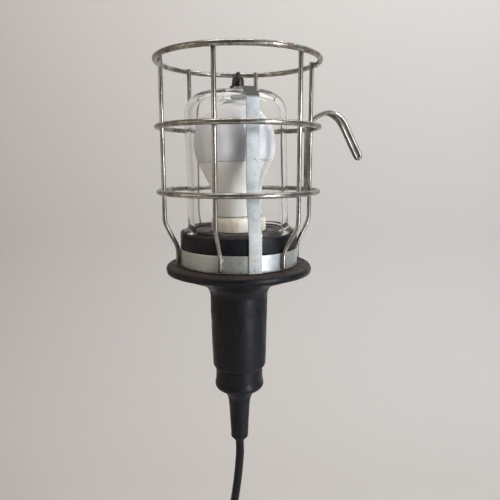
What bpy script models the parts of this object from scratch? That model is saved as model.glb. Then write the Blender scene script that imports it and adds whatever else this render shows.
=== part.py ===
"""Hand inspection lamp: a wire cage and glass jar on a black rubber handle, with its cord.

Frame: metres, +Z up. The lamp hangs upright, handle down. The origin is the point that it hangs
from, the underside of the top cage ring at its back. +X is the side with the hook and -Y is the
front. All measures below are in millimetres and are scaled to metres where the meshes are made.
"""
import math

import bmesh
import bpy
from mathutils import Matrix, Vector

MM = 0.001

# ---- driving dimensions, in millimetres ----
RING_R = 58.3            # cage ring, to the middle of its wire
RING_WIRE_R = 1.9
RING_SPACING = 45.8
RING_TOP_Z = RING_WIRE_R
CAGE_WIRE_R = 1.6
WELD_GAP = 0.3           # left between faces that touch
CAGE_R = RING_R - RING_WIRE_R - WELD_GAP - CAGE_WIRE_R
CAGE_TOP_Z = 3.0
CAGE_BEND_Z = -112.0
CAGE_END_Z = -141.5
# each cage wire's azimuth in degrees, in the cage and on the band (0 is the front, 90 is +X)
CAGE_WIRES = ((-75, -75), (-14.5, -14.5), (49, 44), (101, 101), (166, 166), (226, 226))

BAND_R = 44.2
BAND_T = 1.0
BAND_TOP_Z = -131.0
BAND_BOTTOM_Z = -143.4
STRAP_AZIMUTH = 15.8
STRAP_W = 9.2
STRAP_T = 1.0
STRAP_BOTTOM_Z = -143.2
STRAP_KNEE_R = 26.0      # where it starts to fall from the jar's flat top
STRAP_BEND_R = 38.7      # where it turns down the jar's side
STRAP_BEND_Z = -26.1
STRAP_LAP = 7.5          # how far each strap end runs past the screw
FRONT_STRAP_Z = -18.2    # middle of the strap's thickness at the screw
REAR_STRAP_Z = -16.9

JAR_TILT = -1.0          # degrees about Y: the jar stands a little crooked in its seat
JAR_PIVOT_Z = -120.0
JAR_SHIFT_X = -0.3
JAR_TOP_Z = -19.2
JAR_TOP_R = 36.7
JAR_BASE_R = 37.4
JAR_WALL = 4.2
JAR_TOP_T = 6.0          # the glass is thicker across its top
JAR_DIMPLE = 1.6         # depth of the dimple in its top that the clamp screw's head lies in
JAR_SHOULDER = 14.9
JAR_INNER_SHOULDER = 9.0
JAR_FOOT_R = 41.2
JAR_FOOT_Z = -121.5

COLLAR_R = 43.7
COLLAR_TOP_Z = -119.0
COLLAR_LIP_R = 1.4
SEAT_Z = -143.4          # lower faces of the collar and of the lampholder housing
HOUSING_R = 32.4
HOUSING_TOP_Z = -119.9
HOUSING_BORE_R = 15.8
HOUSING_RECESS_R = 21.0  # seat of the ring round the bulb's neck
HOUSING_SCREW_R = 26.2   # pitch circle of the three long screws

FLANGE_R = 54.7
FLANGE_TOP_Z = -143.9
FLANGE_RIM_R = 3.1
HANDLE_TOP_R = 22.1
HANDLE_FILLET_R = 12.0   # between the flange's coned underside and the grip
HANDLE_END_R = 20.6
HANDLE_END_Z = -226.1
HANDLE_BORE_R = 16.0
NECK_R = 18.3
BEAD_R = 19.1
CAP_BOTTOM_Z = -246.9
BOOT_END_Z = -289.7

CORD_R = 3.4
CORD_FIT_R = 3.75        # bore of what the cord passes through
COIL_PITCH = 6.9
COIL_LAYERS = 4          # turns on top of each other
COIL_ROWS = 5            # turns side by side
COIL_INNER_R = 27.45     # middle of the innermost turn
COIL_Y = 21.05
COIL_Z = -438.0
TIE_ANGLE = 35.0         # from the coil's top, towards +X

THREAD_PITCH = 3.6       # E27 thread
THREAD_TOP_Z = -120.4    # the cap's and the shell's threads start level, so that they mesh
THREAD_MEAN_R = 12.7
THREAD_DEPTH = 0.5
BULB_TILT = -2.0         # degrees about Y: the bulb leans a little in its holder
BULB_PIVOT_Z = -129.0
BULB_R = 30.0
BULB_CENTRE_Z = -56.0
SEAM_Z = -67.6

CLAMP_SCREW_R = 2.4
CLAMP_HOLE_R = 2.9
NUT_BOTTOM_Z = -14.8
NUT_AZIMUTH = 3.0

HOOK_WIRE_R = 1.65
HOOK_PITCH = 3.6         # between the two strands
HOOK_LEG_END_Z = -91.0

ROUND = 32               # steps of a large turned part
SMALL = 16               # steps of a small turned part
MERGE = 0.00001


# ---- scene, materials and shared helpers ----
for old in list(bpy.data.objects):
    bpy.data.objects.remove(old, do_unlink=True)

PARTS = bpy.data.collections.new("work_light")
TOOLS = bpy.data.collections.new("cutters")
bpy.context.scene.collection.children.link(PARTS)
bpy.context.scene.collection.children.link(TOOLS)


def make_material(name, colour, roughness, metallic=0.0, transmission=0.0):
    material = bpy.data.materials.new(name)
    material.use_nodes = True
    shader = material.node_tree.nodes["Principled BSDF"]
    shader.inputs["Base Color"].default_value = (*colour, 1.0)
    shader.inputs["Roughness"].default_value = roughness
    shader.inputs["Metallic"].default_value = metallic
    shader.inputs["Transmission Weight"].default_value = transmission
    return material


STEEL = make_material("weathered_steel", (0.36, 0.34, 0.31), 0.4, 1.0)
ZINC = make_material("galvanised_steel", (0.62, 0.65, 0.66), 0.45, 1.0)
DARK_STEEL = make_material("dark_steel", (0.09, 0.08, 0.075), 0.5, 1.0)
RUBBER = make_material("black_rubber", (0.018, 0.018, 0.019), 0.5)
BAKELITE = make_material("bakelite", (0.02, 0.018, 0.017), 0.3)
GLASS = make_material("clear_glass", (0.95, 0.97, 0.96), 0.03, 0.0, 1.0)
DIFFUSER = make_material("diffuser", (0.82, 0.83, 0.85), 0.45)
WHITE_PLASTIC = make_material("white_plastic", (0.8, 0.79, 0.75), 0.25)
IVORY = make_material("ivory_plastic", (0.72, 0.64, 0.5), 0.35)
BRASS = make_material("brass", (0.6, 0.45, 0.2), 0.35, 1.0)
PORCELAIN = make_material("porcelain", (0.8, 0.78, 0.72), 0.2)
BOARD = make_material("circuit_board", (0.75, 0.76, 0.74), 0.4)
BROWN_CORE = make_material("brown_insulation", (0.2, 0.09, 0.04), 0.45)
BLUE_CORE = make_material("blue_insulation", (0.06, 0.16, 0.42), 0.45)
TIE_FABRIC = make_material("tie_fabric", (0.03, 0.03, 0.035), 0.85)

LAMP = bpy.data.objects.new("lamp_axis", None)
LAMP.location = (0.0, -RING_R * MM, 0.0)
PARTS.objects.link(LAMP)
BULB = bpy.data.objects.new("bulb_tilt", None)
BULB.parent = LAMP
BULB.location = (0.0, 0.0, BULB_PIVOT_Z * MM)
BULB.rotation_euler = (0.0, math.radians(BULB_TILT), 0.0)
PARTS.objects.link(BULB)
JAR = bpy.data.objects.new("jar_tilt", None)
JAR.parent = LAMP
JAR.location = (JAR_SHIFT_X * MM, 0.0, JAR_PIVOT_Z * MM)
JAR.rotation_euler = (0.0, math.radians(JAR_TILT), 0.0)
PARTS.objects.link(JAR)


def adopt(obj, material, parent=LAMP):
    """Put a new object in the parts collection, under its parent."""
    for collection in list(obj.users_collection):
        collection.objects.unlink(obj)
    PARTS.objects.link(obj)
    obj.parent = parent
    obj.data.materials.clear()
    obj.data.materials.append(material)
    return obj


def as_tool(obj):
    """Make an object a cutter: it shapes others and isn't a part."""
    for collection in list(obj.users_collection):
        collection.objects.unlink(obj)
    TOOLS.objects.link(obj)
    obj.hide_render = True
    obj.display_type = "WIRE"
    return obj


def boolean(obj, tool, operation="DIFFERENCE"):
    modifier = obj.modifiers.new(operation.lower(), "BOOLEAN")
    modifier.operation = operation
    modifier.object = tool


def arc(centre_r, centre_z, radius, start, end, steps):
    """Points of a circular arc in a profile's plane, both ends included."""
    points = []
    for i in range(steps + 1):
        angle = math.radians(start + (end - start) * i / steps)
        points.append((centre_r + radius * math.cos(angle), centre_z + radius * math.sin(angle)))
    return points


def turned(name, profile, material, steps=ROUND, closed=False, parent=LAMP, base=(0, 0, 0)):
    """A turned body. The profile is (radius, height) pairs, down its outer side."""
    mesh = bpy.data.meshes.new(name)
    count = len(profile)
    edges = [(i, i + 1) for i in range(count - 1)]
    if closed:
        edges.append((count - 1, 0))
    mesh.from_pydata([(r * MM, 0.0, z * MM) for r, z in profile], edges, [])
    obj = bpy.data.objects.new(name, mesh)
    obj.location = Vector(base) * MM
    screw = obj.modifiers.new("turn", "SCREW")
    screw.steps = steps
    screw.render_steps = steps
    screw.use_merge_vertices = True
    screw.merge_threshold = MERGE
    return adopt(obj, material, parent)


def rod(name, radius, low, high, material, x=0.0, y=0.0, steps=12, parent=LAMP):
    """A plain vertical cylinder between two heights."""
    profile = [(0, high), (radius, high), (radius, low), (0, low)]
    return turned(name, profile, material, steps, parent=parent, base=(x, y, 0))


def wire(name, points, radius, material, sides=8, parent=LAMP):
    """A round wire or cord along points given in millimetres."""
    curve = bpy.data.curves.new(name, "CURVE")
    curve.dimensions = "3D"
    curve.bevel_depth = radius * MM
    curve.bevel_resolution = (sides - 4) // 2
    curve.use_fill_caps = True
    curve.render_resolution_u = 0
    spline = curve.splines.new("POLY")
    spline.points.add(len(points) - 1)
    for point, place in zip(spline.points, points):
        point.co = (*(Vector(place) * MM), 1.0)
    obj = bpy.data.objects.new(name, curve)
    return adopt(obj, material, parent)


def plate(name, loops, thickness, material, parent=LAMP):
    """A flat outline in the object's own XY plane, given thickness along its Z."""
    curve = bpy.data.curves.new(name, "CURVE")
    curve.dimensions = "2D"
    curve.fill_mode = "BOTH"
    curve.extrude = thickness * MM / 2
    curve.render_resolution_u = 0
    for loop in loops:
        spline = curve.splines.new("POLY")
        spline.points.add(len(loop) - 1)
        for point, (x, y) in zip(spline.points, loop):
            point.co = (x * MM, y * MM, 0.0, 1.0)
        spline.use_cyclic_u = True
    obj = bpy.data.objects.new(name, curve)
    return adopt(obj, material, parent)


def solid_from_curve(obj):
    """Replace a curve object with a closed mesh object of the same name, place and parent."""
    bpy.context.view_layer.update()
    graph = bpy.context.evaluated_depsgraph_get()
    mesh = bpy.data.meshes.new_from_object(obj.evaluated_get(graph))
    weld(mesh)
    name, parent, local = obj.name, obj.parent, obj.matrix_local.copy()
    material = obj.data.materials[0]
    bpy.data.objects.remove(obj, do_unlink=True)
    solid = bpy.data.objects.new(name, mesh)
    adopt(solid, material, parent)
    solid.matrix_local = local
    return solid


def weld(mesh):
    shape = bmesh.new()
    shape.from_mesh(mesh)
    bmesh.ops.remove_doubles(shape, verts=shape.verts, dist=MERGE)
    bmesh.ops.recalc_face_normals(shape, faces=shape.faces)
    shape.to_mesh(mesh)
    shape.free()


def cube(name, low, high, material, parent=LAMP):
    """A box between two corners."""
    bpy.ops.mesh.primitive_cube_add(size=1.0)
    obj = bpy.context.object
    obj.name = name
    low = Vector(low) * MM
    high = Vector(high) * MM
    obj.data.transform(Matrix.Translation((low + high) / 2) @ Matrix.Diagonal((*(high - low), 1.0)))
    return adopt(obj, material, parent)


def smooth_step(value):
    value = max(0.0, min(1.0, value))
    return value * value * (3.0 - 2.0 * value)


def smooth_path(points, spacing):
    """Points about one spacing apart on a smooth curve through the given points."""
    points = [Vector(point) for point in points]
    ends = [2 * points[0] - points[1]] + points + [2 * points[-1] - points[-2]]
    fine = []
    for a, b, c, d in zip(ends, ends[1:], ends[2:], ends[3:]):
        steps = 24
        for i in range(steps):
            t = i / steps
            fine.append(0.5 * ((2 * b) + (c - a) * t + (2 * a - 5 * b + 4 * c - d) * t ** 2
                               + (3 * b - a - 3 * c + d) * t ** 3))
    fine.append(points[-1])
    lengths = [0.0]
    for a, b in zip(fine, fine[1:]):
        lengths.append(lengths[-1] + (b - a).length)
    count = max(1, round(lengths[-1] / spacing))
    result = []
    index = 0
    for k in range(count + 1):
        target = lengths[-1] * k / count
        while index < len(fine) - 2 and lengths[index + 1] < target:
            index += 1
        span = lengths[index + 1] - lengths[index]
        result.append(fine[index].lerp(fine[index + 1], (target - lengths[index]) / span))
    return result


def rounded_path(points, radius, steps=4):
    """A path with each inner corner rounded by a curve that starts one radius from it."""
    points = [Vector(point) for point in points]
    result = [points[0]]
    for before, corner, after in zip(points, points[1:], points[2:]):
        start = corner + (before - corner).normalized() * radius
        end = corner + (after - corner).normalized() * radius
        for i in range(steps + 1):
            t = i / steps
            result.append(start * (1 - t) ** 2 + corner * 2 * t * (1 - t) + end * t ** 2)
    result.append(points[-1])
    return result


def around(azimuth, radius, z):
    """A point at an azimuth: 0 is the front (-Y), 90 is +X."""
    angle = math.radians(azimuth)
    return Vector((radius * math.sin(angle), -radius * math.cos(angle), z))


def strip_outline(path, thickness):
    """The side outline of a bent flat strip whose middle line is the path of (x, y) pairs."""
    path = [Vector(point) for point in path]
    left, right = [], []
    for i, point in enumerate(path):
        before = (point - path[i - 1]).normalized() if i else (path[1] - point).normalized()
        after = (path[i + 1] - point).normalized() if i < len(path) - 1 else before
        normal = Vector((-(before + after).y, (before + after).x)).normalized()
        reach = thickness / 2 / max(0.3, normal.dot(Vector((-after.y, after.x))))
        left.append(tuple(point + normal * reach))
        right.append(tuple(point - normal * reach))
    return left + right[::-1]


# ---- cage ----
def make_rings():
    for level, name in enumerate(("cage_ring_top", "cage_ring_middle", "cage_ring_bottom")):
        bpy.ops.mesh.primitive_torus_add(major_radius=RING_R * MM, minor_radius=RING_WIRE_R * MM,
                                         major_segments=44, minor_segments=6)
        ring = bpy.context.object
        ring.name = name
        ring.location = (0.0, 0.0, (RING_TOP_Z - level * RING_SPACING) * MM)
        adopt(ring, STEEL)


def make_cage_wires():
    band_r = BAND_R + WELD_GAP + CAGE_WIRE_R
    for number, (azimuth, band_azimuth) in enumerate(CAGE_WIRES, 1):
        corners = [around(azimuth, CAGE_R, CAGE_TOP_Z), around(azimuth, CAGE_R, CAGE_BEND_Z),
                   around(band_azimuth, band_r, BAND_TOP_Z), around(band_azimuth, band_r, CAGE_END_Z)]
        wire(f"cage_wire_{number}", rounded_path(corners, 4.5, 3), CAGE_WIRE_R, STEEL)


def make_band():
    inner = BAND_R - BAND_T
    profile = [(BAND_R, BAND_TOP_Z), (BAND_R, BAND_BOTTOM_Z), (inner, BAND_BOTTOM_Z), (inner, BAND_TOP_Z)]
    turned("cage_band", profile, ZINC, closed=True)


def make_strap(name, azimuth, centre_z, slack=0.0):
    """One half of the strap: up from the band, over the jar's shoulder and past the clamp screw."""
    foot = BAND_R + WELD_GAP + STRAP_T / 2
    bend = STRAP_BEND_R + slack
    path = [(foot, STRAP_BOTTOM_Z), (foot, COLLAR_TOP_Z + 1.0), (39.2 + slack, -95.0), (bend - 0.2, -31.0),
            (bend, STRAP_BEND_Z - 0.9), (bend - 0.8, STRAP_BEND_Z + 0.6), (STRAP_KNEE_R, centre_z - 0.3),
            (14.0, centre_z), (-STRAP_LAP, centre_z)]
    strap = plate(name, [strip_outline(path, STRAP_T)], STRAP_W, ZINC)
    outward = around(azimuth, 1.0, 0.0)
    across = outward.cross(Vector((0, 0, 1)))
    strap.rotation_euler = Matrix((outward, (0, 0, 1), across)).transposed().to_euler()
    strap = solid_from_curve(strap)
    drill = as_tool(rod(name + "_drill", CLAMP_HOLE_R, centre_z - 3, centre_z + 3, ZINC))
    drill.parent = LAMP
    boolean(strap, drill)


def make_clamp():
    head_top = FRONT_STRAP_Z - STRAP_T / 2 - WELD_GAP
    screw = [(0, -6.5), (2.0, -6.5), (CLAMP_SCREW_R, -6.9), (CLAMP_SCREW_R, head_top), (5.6, head_top),
             (5.6, head_top - 0.8), (5.2, head_top - 1.2), (0, head_top - 1.2)]
    turned("clamp_screw", screw, DARK_STEEL, SMALL)
    washer_low = REAR_STRAP_Z + STRAP_T / 2 + WELD_GAP
    washer = [(6.0, washer_low + 1.0), (6.0, washer_low), (CLAMP_HOLE_R, washer_low),
              (CLAMP_HOLE_R, washer_low + 1.0)]
    turned("clamp_washer", washer, DARK_STEEL, SMALL, closed=True)
    make_wing_nut()


def make_wing_nut():
    """A wing nut with rounded wings, its origin on the screw at its lower face."""
    bore = CLAMP_SCREW_R + 0.35
    hub = [(3.3, 5.7), (4.1, 4.6), (4.5, 0.0), (bore, 0.0), (bore, 5.7)]
    hub = turned("wing_nut", hub, DARK_STEEL, SMALL, closed=True, base=(0, 0, NUT_BOTTOM_Z))
    hub.rotation_euler.z = math.radians(NUT_AZIMUTH)
    for side in (1, -1):
        outline = [(3.2 * side, 0.8), (6.2 * side, 1.6), (9.2 * side, 3.4)]
        outline += [(x * side, y) for x, y in arc(8.5, 6.0, 2.3, -40, 170, 8)]
        outline += [(5.6 * side, 4.4), (3.2 * side, 4.2)]
        wing = solid_from_curve(plate(f"wing_{side}", [outline], 2.0, DARK_STEEL))
        wing.data.transform(Matrix.Rotation(math.pi / 2, 4, "X"))
        wing.data.transform(Matrix.Rotation(-math.pi / 2, 4, "Z"))
        as_tool(wing)
        wing.parent = hub
        wing.matrix_local = Matrix.Identity(4)
        boolean(hub, wing, "UNION")


def hook_frame():
    """The hook's middle line from its root to its tip, with the direction between its strands."""
    root = around(106.9, CAGE_R - 0.2, -47.0)
    line = [root, (52.2, 15.8, -42.4), (54.3, 15.9, -38.7), (57.2, 16.1, -36.1), (61.4, 16.4, -33.7),
            (67.3, 16.8, -31.9), (72.8, 17.3, -33.5), (77.7, 17.9, -37.6), (81.9, 18.4, -44.6),
            (87.4, 19.2, -55.3), (92.0, 19.8, -64.0)]
    middle = smooth_path(line, 3.4)
    beside = around(105.0, 1.0, 0.0) - around(108.8, 1.0, 0.0)
    beside.normalize()
    frame = []
    walked = 0.0
    for i, point in enumerate(middle):
        ahead = (middle[min(i + 1, len(middle) - 1)] - middle[max(i - 1, 0)]).normalized()
        if i:
            walked += (point - middle[i - 1]).length
        level = (beside - ahead * beside.dot(ahead)).normalized()
        outer = level.cross(ahead)
        twist = math.radians(78.0) * smooth_step((walked - 18.0) / 24.0)
        frame.append((point, ahead, level * math.cos(twist) + outer * math.sin(twist)))
    return frame


def make_hook():
    """A hairpin of wire: two legs inside the rings, and a doubled hook with a closed round tip."""
    half = HOOK_PITCH / 2
    frame = hook_frame()
    near = [point + side * half for point, ahead, side in frame]
    far = [point - side * half for point, ahead, side in frame]
    tip, ahead, side = frame[-1]
    turn = []
    for step in range(1, 8):
        angle = math.pi * step / 8
        turn.append(tip + side * half * math.cos(angle) + ahead * half * math.sin(angle))
    leg_near = Vector((near[0].x, near[0].y, HOOK_LEG_END_Z))
    leg_far = Vector((far[0].x, far[0].y, HOOK_LEG_END_Z))
    wire("hook", [leg_near] + near + turn + far[::-1] + [leg_far], HOOK_WIRE_R, STEEL)


# ---- jar and its seat ----
def jar_turned(name, profile, material, closed=False):
    moved = [(r, z - JAR_PIVOT_Z) for r, z in profile]
    return turned(name, moved, material, closed=closed, parent=JAR)


def make_jar():
    """Pressed glass: a flat top with a dimple, a full round shoulder, a plain wall and a spread foot."""
    centre = JAR_TOP_R - JAR_SHOULDER
    inner_top = JAR_TOP_Z - JAR_TOP_T
    inner_centre = JAR_TOP_R - JAR_WALL - JAR_INNER_SHOULDER
    profile = [(0, JAR_TOP_Z - JAR_DIMPLE), (6.8, JAR_TOP_Z - JAR_DIMPLE), (8.6, JAR_TOP_Z)]
    profile += arc(centre, JAR_TOP_Z - JAR_SHOULDER, JAR_SHOULDER, 90, 0, 7)
    profile += [(JAR_BASE_R, -113.5), (38.5, -116.1), (JAR_FOOT_R - 0.6, -117.6), (JAR_FOOT_R, -118.4),
                (JAR_FOOT_R, JAR_FOOT_Z + 0.5), (JAR_FOOT_R - 0.5, JAR_FOOT_Z),
                (JAR_BASE_R - JAR_WALL, JAR_FOOT_Z)]
    profile += arc(inner_centre, inner_top - JAR_INNER_SHOULDER, JAR_INNER_SHOULDER, 0, 90, 5)
    profile += [(0, inner_top)]
    jar_turned("glass_jar", profile, GLASS)


def make_seat():
    gasket = [(41.2, -121.8), (41.2, -123.2), (34.6, -123.2), (34.6, -121.8)]
    jar_turned("jar_gasket", gasket, RUBBER, closed=True)
    under_band = BAND_R - BAND_T - WELD_GAP
    collar = arc(COLLAR_R - COLLAR_LIP_R, COLLAR_TOP_Z - COLLAR_LIP_R, COLLAR_LIP_R, 90, 0, 3)
    collar += [(COLLAR_R, BAND_TOP_Z + 0.6), (under_band, BAND_TOP_Z + 0.3), (under_band, SEAT_Z),
               (33.2, SEAT_Z), (33.2, -124.3), (41.9, -124.3), (41.9, COLLAR_TOP_Z - 0.4)]
    turned("rubber_collar", collar, RUBBER, closed=True)


# ---- lampholder ----
def screw_places():
    return [around(azimuth, HOUSING_SCREW_R, 0.0) for azimuth in (60, 180, 300)]


def make_housing():
    profile = [(HOUSING_R - 1, HOUSING_TOP_Z), (HOUSING_R, HOUSING_TOP_Z - 1), (HOUSING_R, SEAT_Z),
               (HOUSING_BORE_R, SEAT_Z), (HOUSING_BORE_R, -122.0), (HOUSING_RECESS_R, -121.5),
               (HOUSING_RECESS_R, HOUSING_TOP_Z - 0.5), (HOUSING_RECESS_R + 0.5, HOUSING_TOP_Z)]
    housing = turned("lampholder_housing", profile, BAKELITE, closed=True)
    for number, place in enumerate(screw_places(), 1):
        drill = [(0, -116.0), (4.5, -116.0), (4.5, -123.6), (2.3, -123.6), (2.3, -145.0), (0, -145.0)]
        tool = as_tool(turned(f"housing_drill_{number}", drill, BAKELITE, 12, base=(place.x, place.y, 0)))
        boolean(housing, tool)
        shape = [(0, -121.0), (3.4, -121.1), (4.0, -121.9), (4.0, -123.3), (2.0, -123.3), (2.0, -149.0),
                 (0, -149.0)]
        turned(f"housing_screw_{number}", shape, DARK_STEEL, 12, base=(place.x, place.y, 0))
    ring = [(18.6, -108.2), (20.0, -109.5), (20.4, -112.0), (20.4, -121.2), (17.8, -121.2), (17.8, -108.4)]
    turned("lampholder_ring", ring, IVORY, closed=True)


def thread_profile(top, bottom, grow):
    """Radii of the rounded E27 thread between two heights."""
    profile = []
    steps = round((top - bottom) / (THREAD_PITCH / 2))
    for i in range(steps + 1):
        z = top - (top - bottom) * i / steps
        profile.append((THREAD_MEAN_R + grow + THREAD_DEPTH * (1 if i % 2 else -1), z))
    return profile


def make_lampholder():
    inner = thread_profile(THREAD_TOP_Z, -142.0, 0.75)
    outer = thread_profile(THREAD_TOP_Z, -142.0, 1.15)
    turned("screw_shell", outer + inner[::-1], BRASS, SMALL, closed=True)
    insert = turned("lampholder_insert", [(0, -147.7), (7.0, -147.7), (7.0, -144.3), (17.5, -144.3),
                                          (17.5, -152.1), (0, -152.1)], PORCELAIN)
    for number, side in enumerate((1, -1), 1):
        tool = as_tool(rod(f"terminal_drill_{number}", 1.8, -153.0, -147.6, PORCELAIN, x=10.0 * side))
        boolean(insert, tool)
        shape = [(0, -148.0), (1.5, -148.0), (1.5, -152.4), (2.8, -152.4), (2.8, -154.2), (0, -154.2)]
        turned(f"terminal_screw_{number}", shape, BRASS, 14, base=(10.0 * side, 0, 0))
    leaf = [(-5.5, -147.2), (-3.0, -145.2), (-1.0, -143.7), (1.0, -143.7), (3.0, -145.2), (5.5, -147.2)]
    make_leaf("centre_contact", leaf, 4.0, 0.4)
    make_leaf("side_contact", [(11.0, -143.7), (15.0, -143.7), (15.0, -136.0)], 5.0, 0.4)


def make_leaf(name, path, width, thickness):
    """A bent contact strip in the XZ plane."""
    strip = plate(name, [strip_outline(path, thickness)], width, BRASS)
    strip.rotation_euler.x = math.pi / 2
    return strip


# ---- bulb ----
def bulb_turned(name, profile, material, steps=ROUND, closed=False):
    moved = [(r, z - BULB_PIVOT_Z) for r, z in profile]
    return turned(name, moved, material, steps, closed, parent=BULB)


def make_bulb():
    shell_r = BULB_R - 1.4
    edge = math.degrees(math.asin((SEAM_Z + 0.15 - BULB_CENTRE_Z) / BULB_R))
    inner_edge = math.degrees(math.asin((SEAM_Z + 0.15 - BULB_CENTRE_Z) / shell_r))
    diffuser = arc(0, BULB_CENTRE_Z, BULB_R, 90, edge, 9)
    diffuser += arc(0, BULB_CENTRE_Z, shell_r, inner_edge, 90, 6)
    bulb_turned("bulb_diffuser", diffuser, DIFFUSER, 24)
    cone = [(27.6, SEAM_Z - 0.15), (27.2, -69.0), (23.5, -76.4), (19.7, -84.6), (18.5, -89.5), (18.1, -94.0),
            (18.15, -107.3), (16.8, -107.3), (16.8, -90.0), (21.4, -78.0), (25.4, -70.6),
            (25.8, SEAM_Z - 0.15)]
    bulb_turned("bulb_housing", cone, WHITE_PLASTIC, 24, closed=True)
    base = [(16.6, -107.7), (16.6, -112.0), (16.0, -115.4), (11.2, -115.6), (11.2, -137.0), (10.2, -137.0),
            (10.2, -113.0), (15.4, -111.0), (15.4, -107.7)]
    bulb_turned("bulb_base", base, IVORY, 24, closed=True)
    cap = [(13.5, -116.0), (13.5, -119.0)] + thread_profile(THREAD_TOP_Z, -136.6, 0.0) + [(12.0, -138.6)]
    bulb_turned("bulb_screw_cap", cap + [(11.6, -138.6), (11.6, -116.0)], ZINC, SMALL, closed=True)
    bulb_turned("bulb_cap_insulator", [(0, -137.4), (11.2, -137.4), (11.2, -139.0), (5.2, -141.3),
                                       (0, -141.3)], BAKELITE, SMALL)
    bulb_turned("bulb_tip_contact", [(0, -141.6), (4.5, -141.6), (4.0, -142.3), (0, -142.7)], BRASS, SMALL)
    board = bulb_turned("bulb_led_board", [(0, -67.2), (24.6, -67.2), (24.6, -68.6), (0, -68.6)], BOARD, 24)
    for number in range(10):
        place = around(36.0 * number, 17.0, -67.0 - BULB_PIVOT_Z)
        corner = Vector((1.4, 1.4, 0.8))
        boolean(board, as_tool(cube(f"led_{number}", place - corner, place + corner, BOARD, BULB)), "UNION")
    cube("bulb_driver_board", (-8.0, -0.7, -104.0 - BULB_PIVOT_Z), (8.0, 0.7, -74.0 - BULB_PIVOT_Z), BOARD,
         BULB)


# ---- handle, cord entry and wiring ----
def make_handle():
    rim = FLANGE_R - FLANGE_RIM_R
    profile = arc(rim, FLANGE_TOP_Z - FLANGE_RIM_R, FLANGE_RIM_R, 90, -90, 6)
    profile += arc(HANDLE_TOP_R + HANDLE_FILLET_R, -169.5, HANDLE_FILLET_R, 111, 180, 5)
    profile += arc(HANDLE_END_R - 3.0, HANDLE_END_Z + 3.0, 3.0, 0, -90, 3)
    profile += [(12.6, HANDLE_END_Z), (12.6, -219.0), (HANDLE_BORE_R, -216.0), (HANDLE_BORE_R, -152.5),
                (18.0, -152.5), (18.0, FLANGE_TOP_Z)]
    handle = turned("handle", profile, RUBBER, closed=True)
    for number, place in enumerate(screw_places(), 1):
        tool = as_tool(rod(f"handle_drill_{number}", 2.3, -149.4, -140.0, RUBBER, place.x, place.y))
        boolean(handle, tool)


def make_cord_entry():
    cap = [(NECK_R, HANDLE_END_Z - 0.4), (NECK_R, -235.6), (18.5, -237.4)]
    cap += arc(BEAD_R - 3.1, -240.8, 3.1, 50, -40, 3)
    cap += arc(9.5, -234.9, 12.0, -50, -84, 4)
    cap += [(6.9, CAP_BOTTOM_Z), (6.9, -243.8), (13.0, -243.8), (13.0, -231.4), (10.0, -231.0),
            (10.0, -219.5), (12.2, -219.5), (12.2, HANDLE_END_Z - 0.4)]
    turned("gland_cap", cap, RUBBER, 24, closed=True)
    boot = [(8.4, -240.6), (8.4, -243.4), (6.5, -243.4), (6.5, -247.3), (11.3, -247.35), (9.8, -249.5),
            (8.6, -253.6), (8.1, -260.0), (6.9, -286.0), (6.2, -287.8), (4.8, BOOT_END_Z),
            (CORD_FIT_R, BOOT_END_Z), (CORD_FIT_R, -240.6)]
    turned("strain_relief", boot, RUBBER, 18, closed=True)
    rod("cord_inside", CORD_R, BOOT_END_Z + 0.1, -230.6, RUBBER)
    make_cord_clamp()
    for side, name, material in ((1, "live_core", BROWN_CORE), (-1, "neutral_core", BLUE_CORE)):
        route = [(1.7 * side, 0, -230.2), (2.3 * side, 0, -222.0), (6.0 * side, 0.5, -204.0),
                 (9.4 * side, 0.5, -182.0), (10.0 * side, 0, -166.0), (10.0 * side, 0, -154.6)]
        wire(name, smooth_path(route, 8.0), 1.2, material)


def make_cord_clamp():
    """Two saddles that grip the cord inside the cap, and the two screws that close them."""
    groove = as_tool(rod("clamp_groove", CORD_FIT_R, -245.0, -225.0, BAKELITE))
    halves = (cube("cord_clamp_front", (-9.0, -6.4, -239.0), (9.0, -0.9, -233.0), BAKELITE),
              cube("cord_clamp_rear", (-9.0, 0.9, -239.0), (9.0, 6.4, -233.0), BAKELITE))
    for number, side in enumerate((1, -1), 1):
        shape = [(0, 8.4), (2.2, 8.4), (2.5, 8.0), (2.5, 6.7), (1.2, 6.7), (1.2, -7.4), (0, -7.4)]
        screw = turned(f"cord_clamp_screw_{number}", shape, DARK_STEEL, 12)
        drill = as_tool(rod(f"clamp_drill_{number}", 1.55, -12.0, 12.0, BAKELITE, steps=12))
        for obj in (screw, drill):
            obj.location = Vector((6.4 * side, 0.0, -236.0)) * MM
            obj.rotation_euler.x = math.pi / 2
        drill.parent = LAMP
        for half in halves:
            boolean(half, drill)
    for half in halves:
        boolean(half, groove)


# ---- cord, coil and plug ----
def coil_rings():
    """Inner and outer radius and half thickness of the coil's outer shape."""
    inner = COIL_INNER_R - CORD_R - 0.15
    outer = COIL_INNER_R + (COIL_LAYERS - 1) * COIL_PITCH + CORD_R + 0.15
    half = (COIL_ROWS - 1) * COIL_PITCH / 2 + CORD_R + 0.15
    return inner, outer, half


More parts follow.
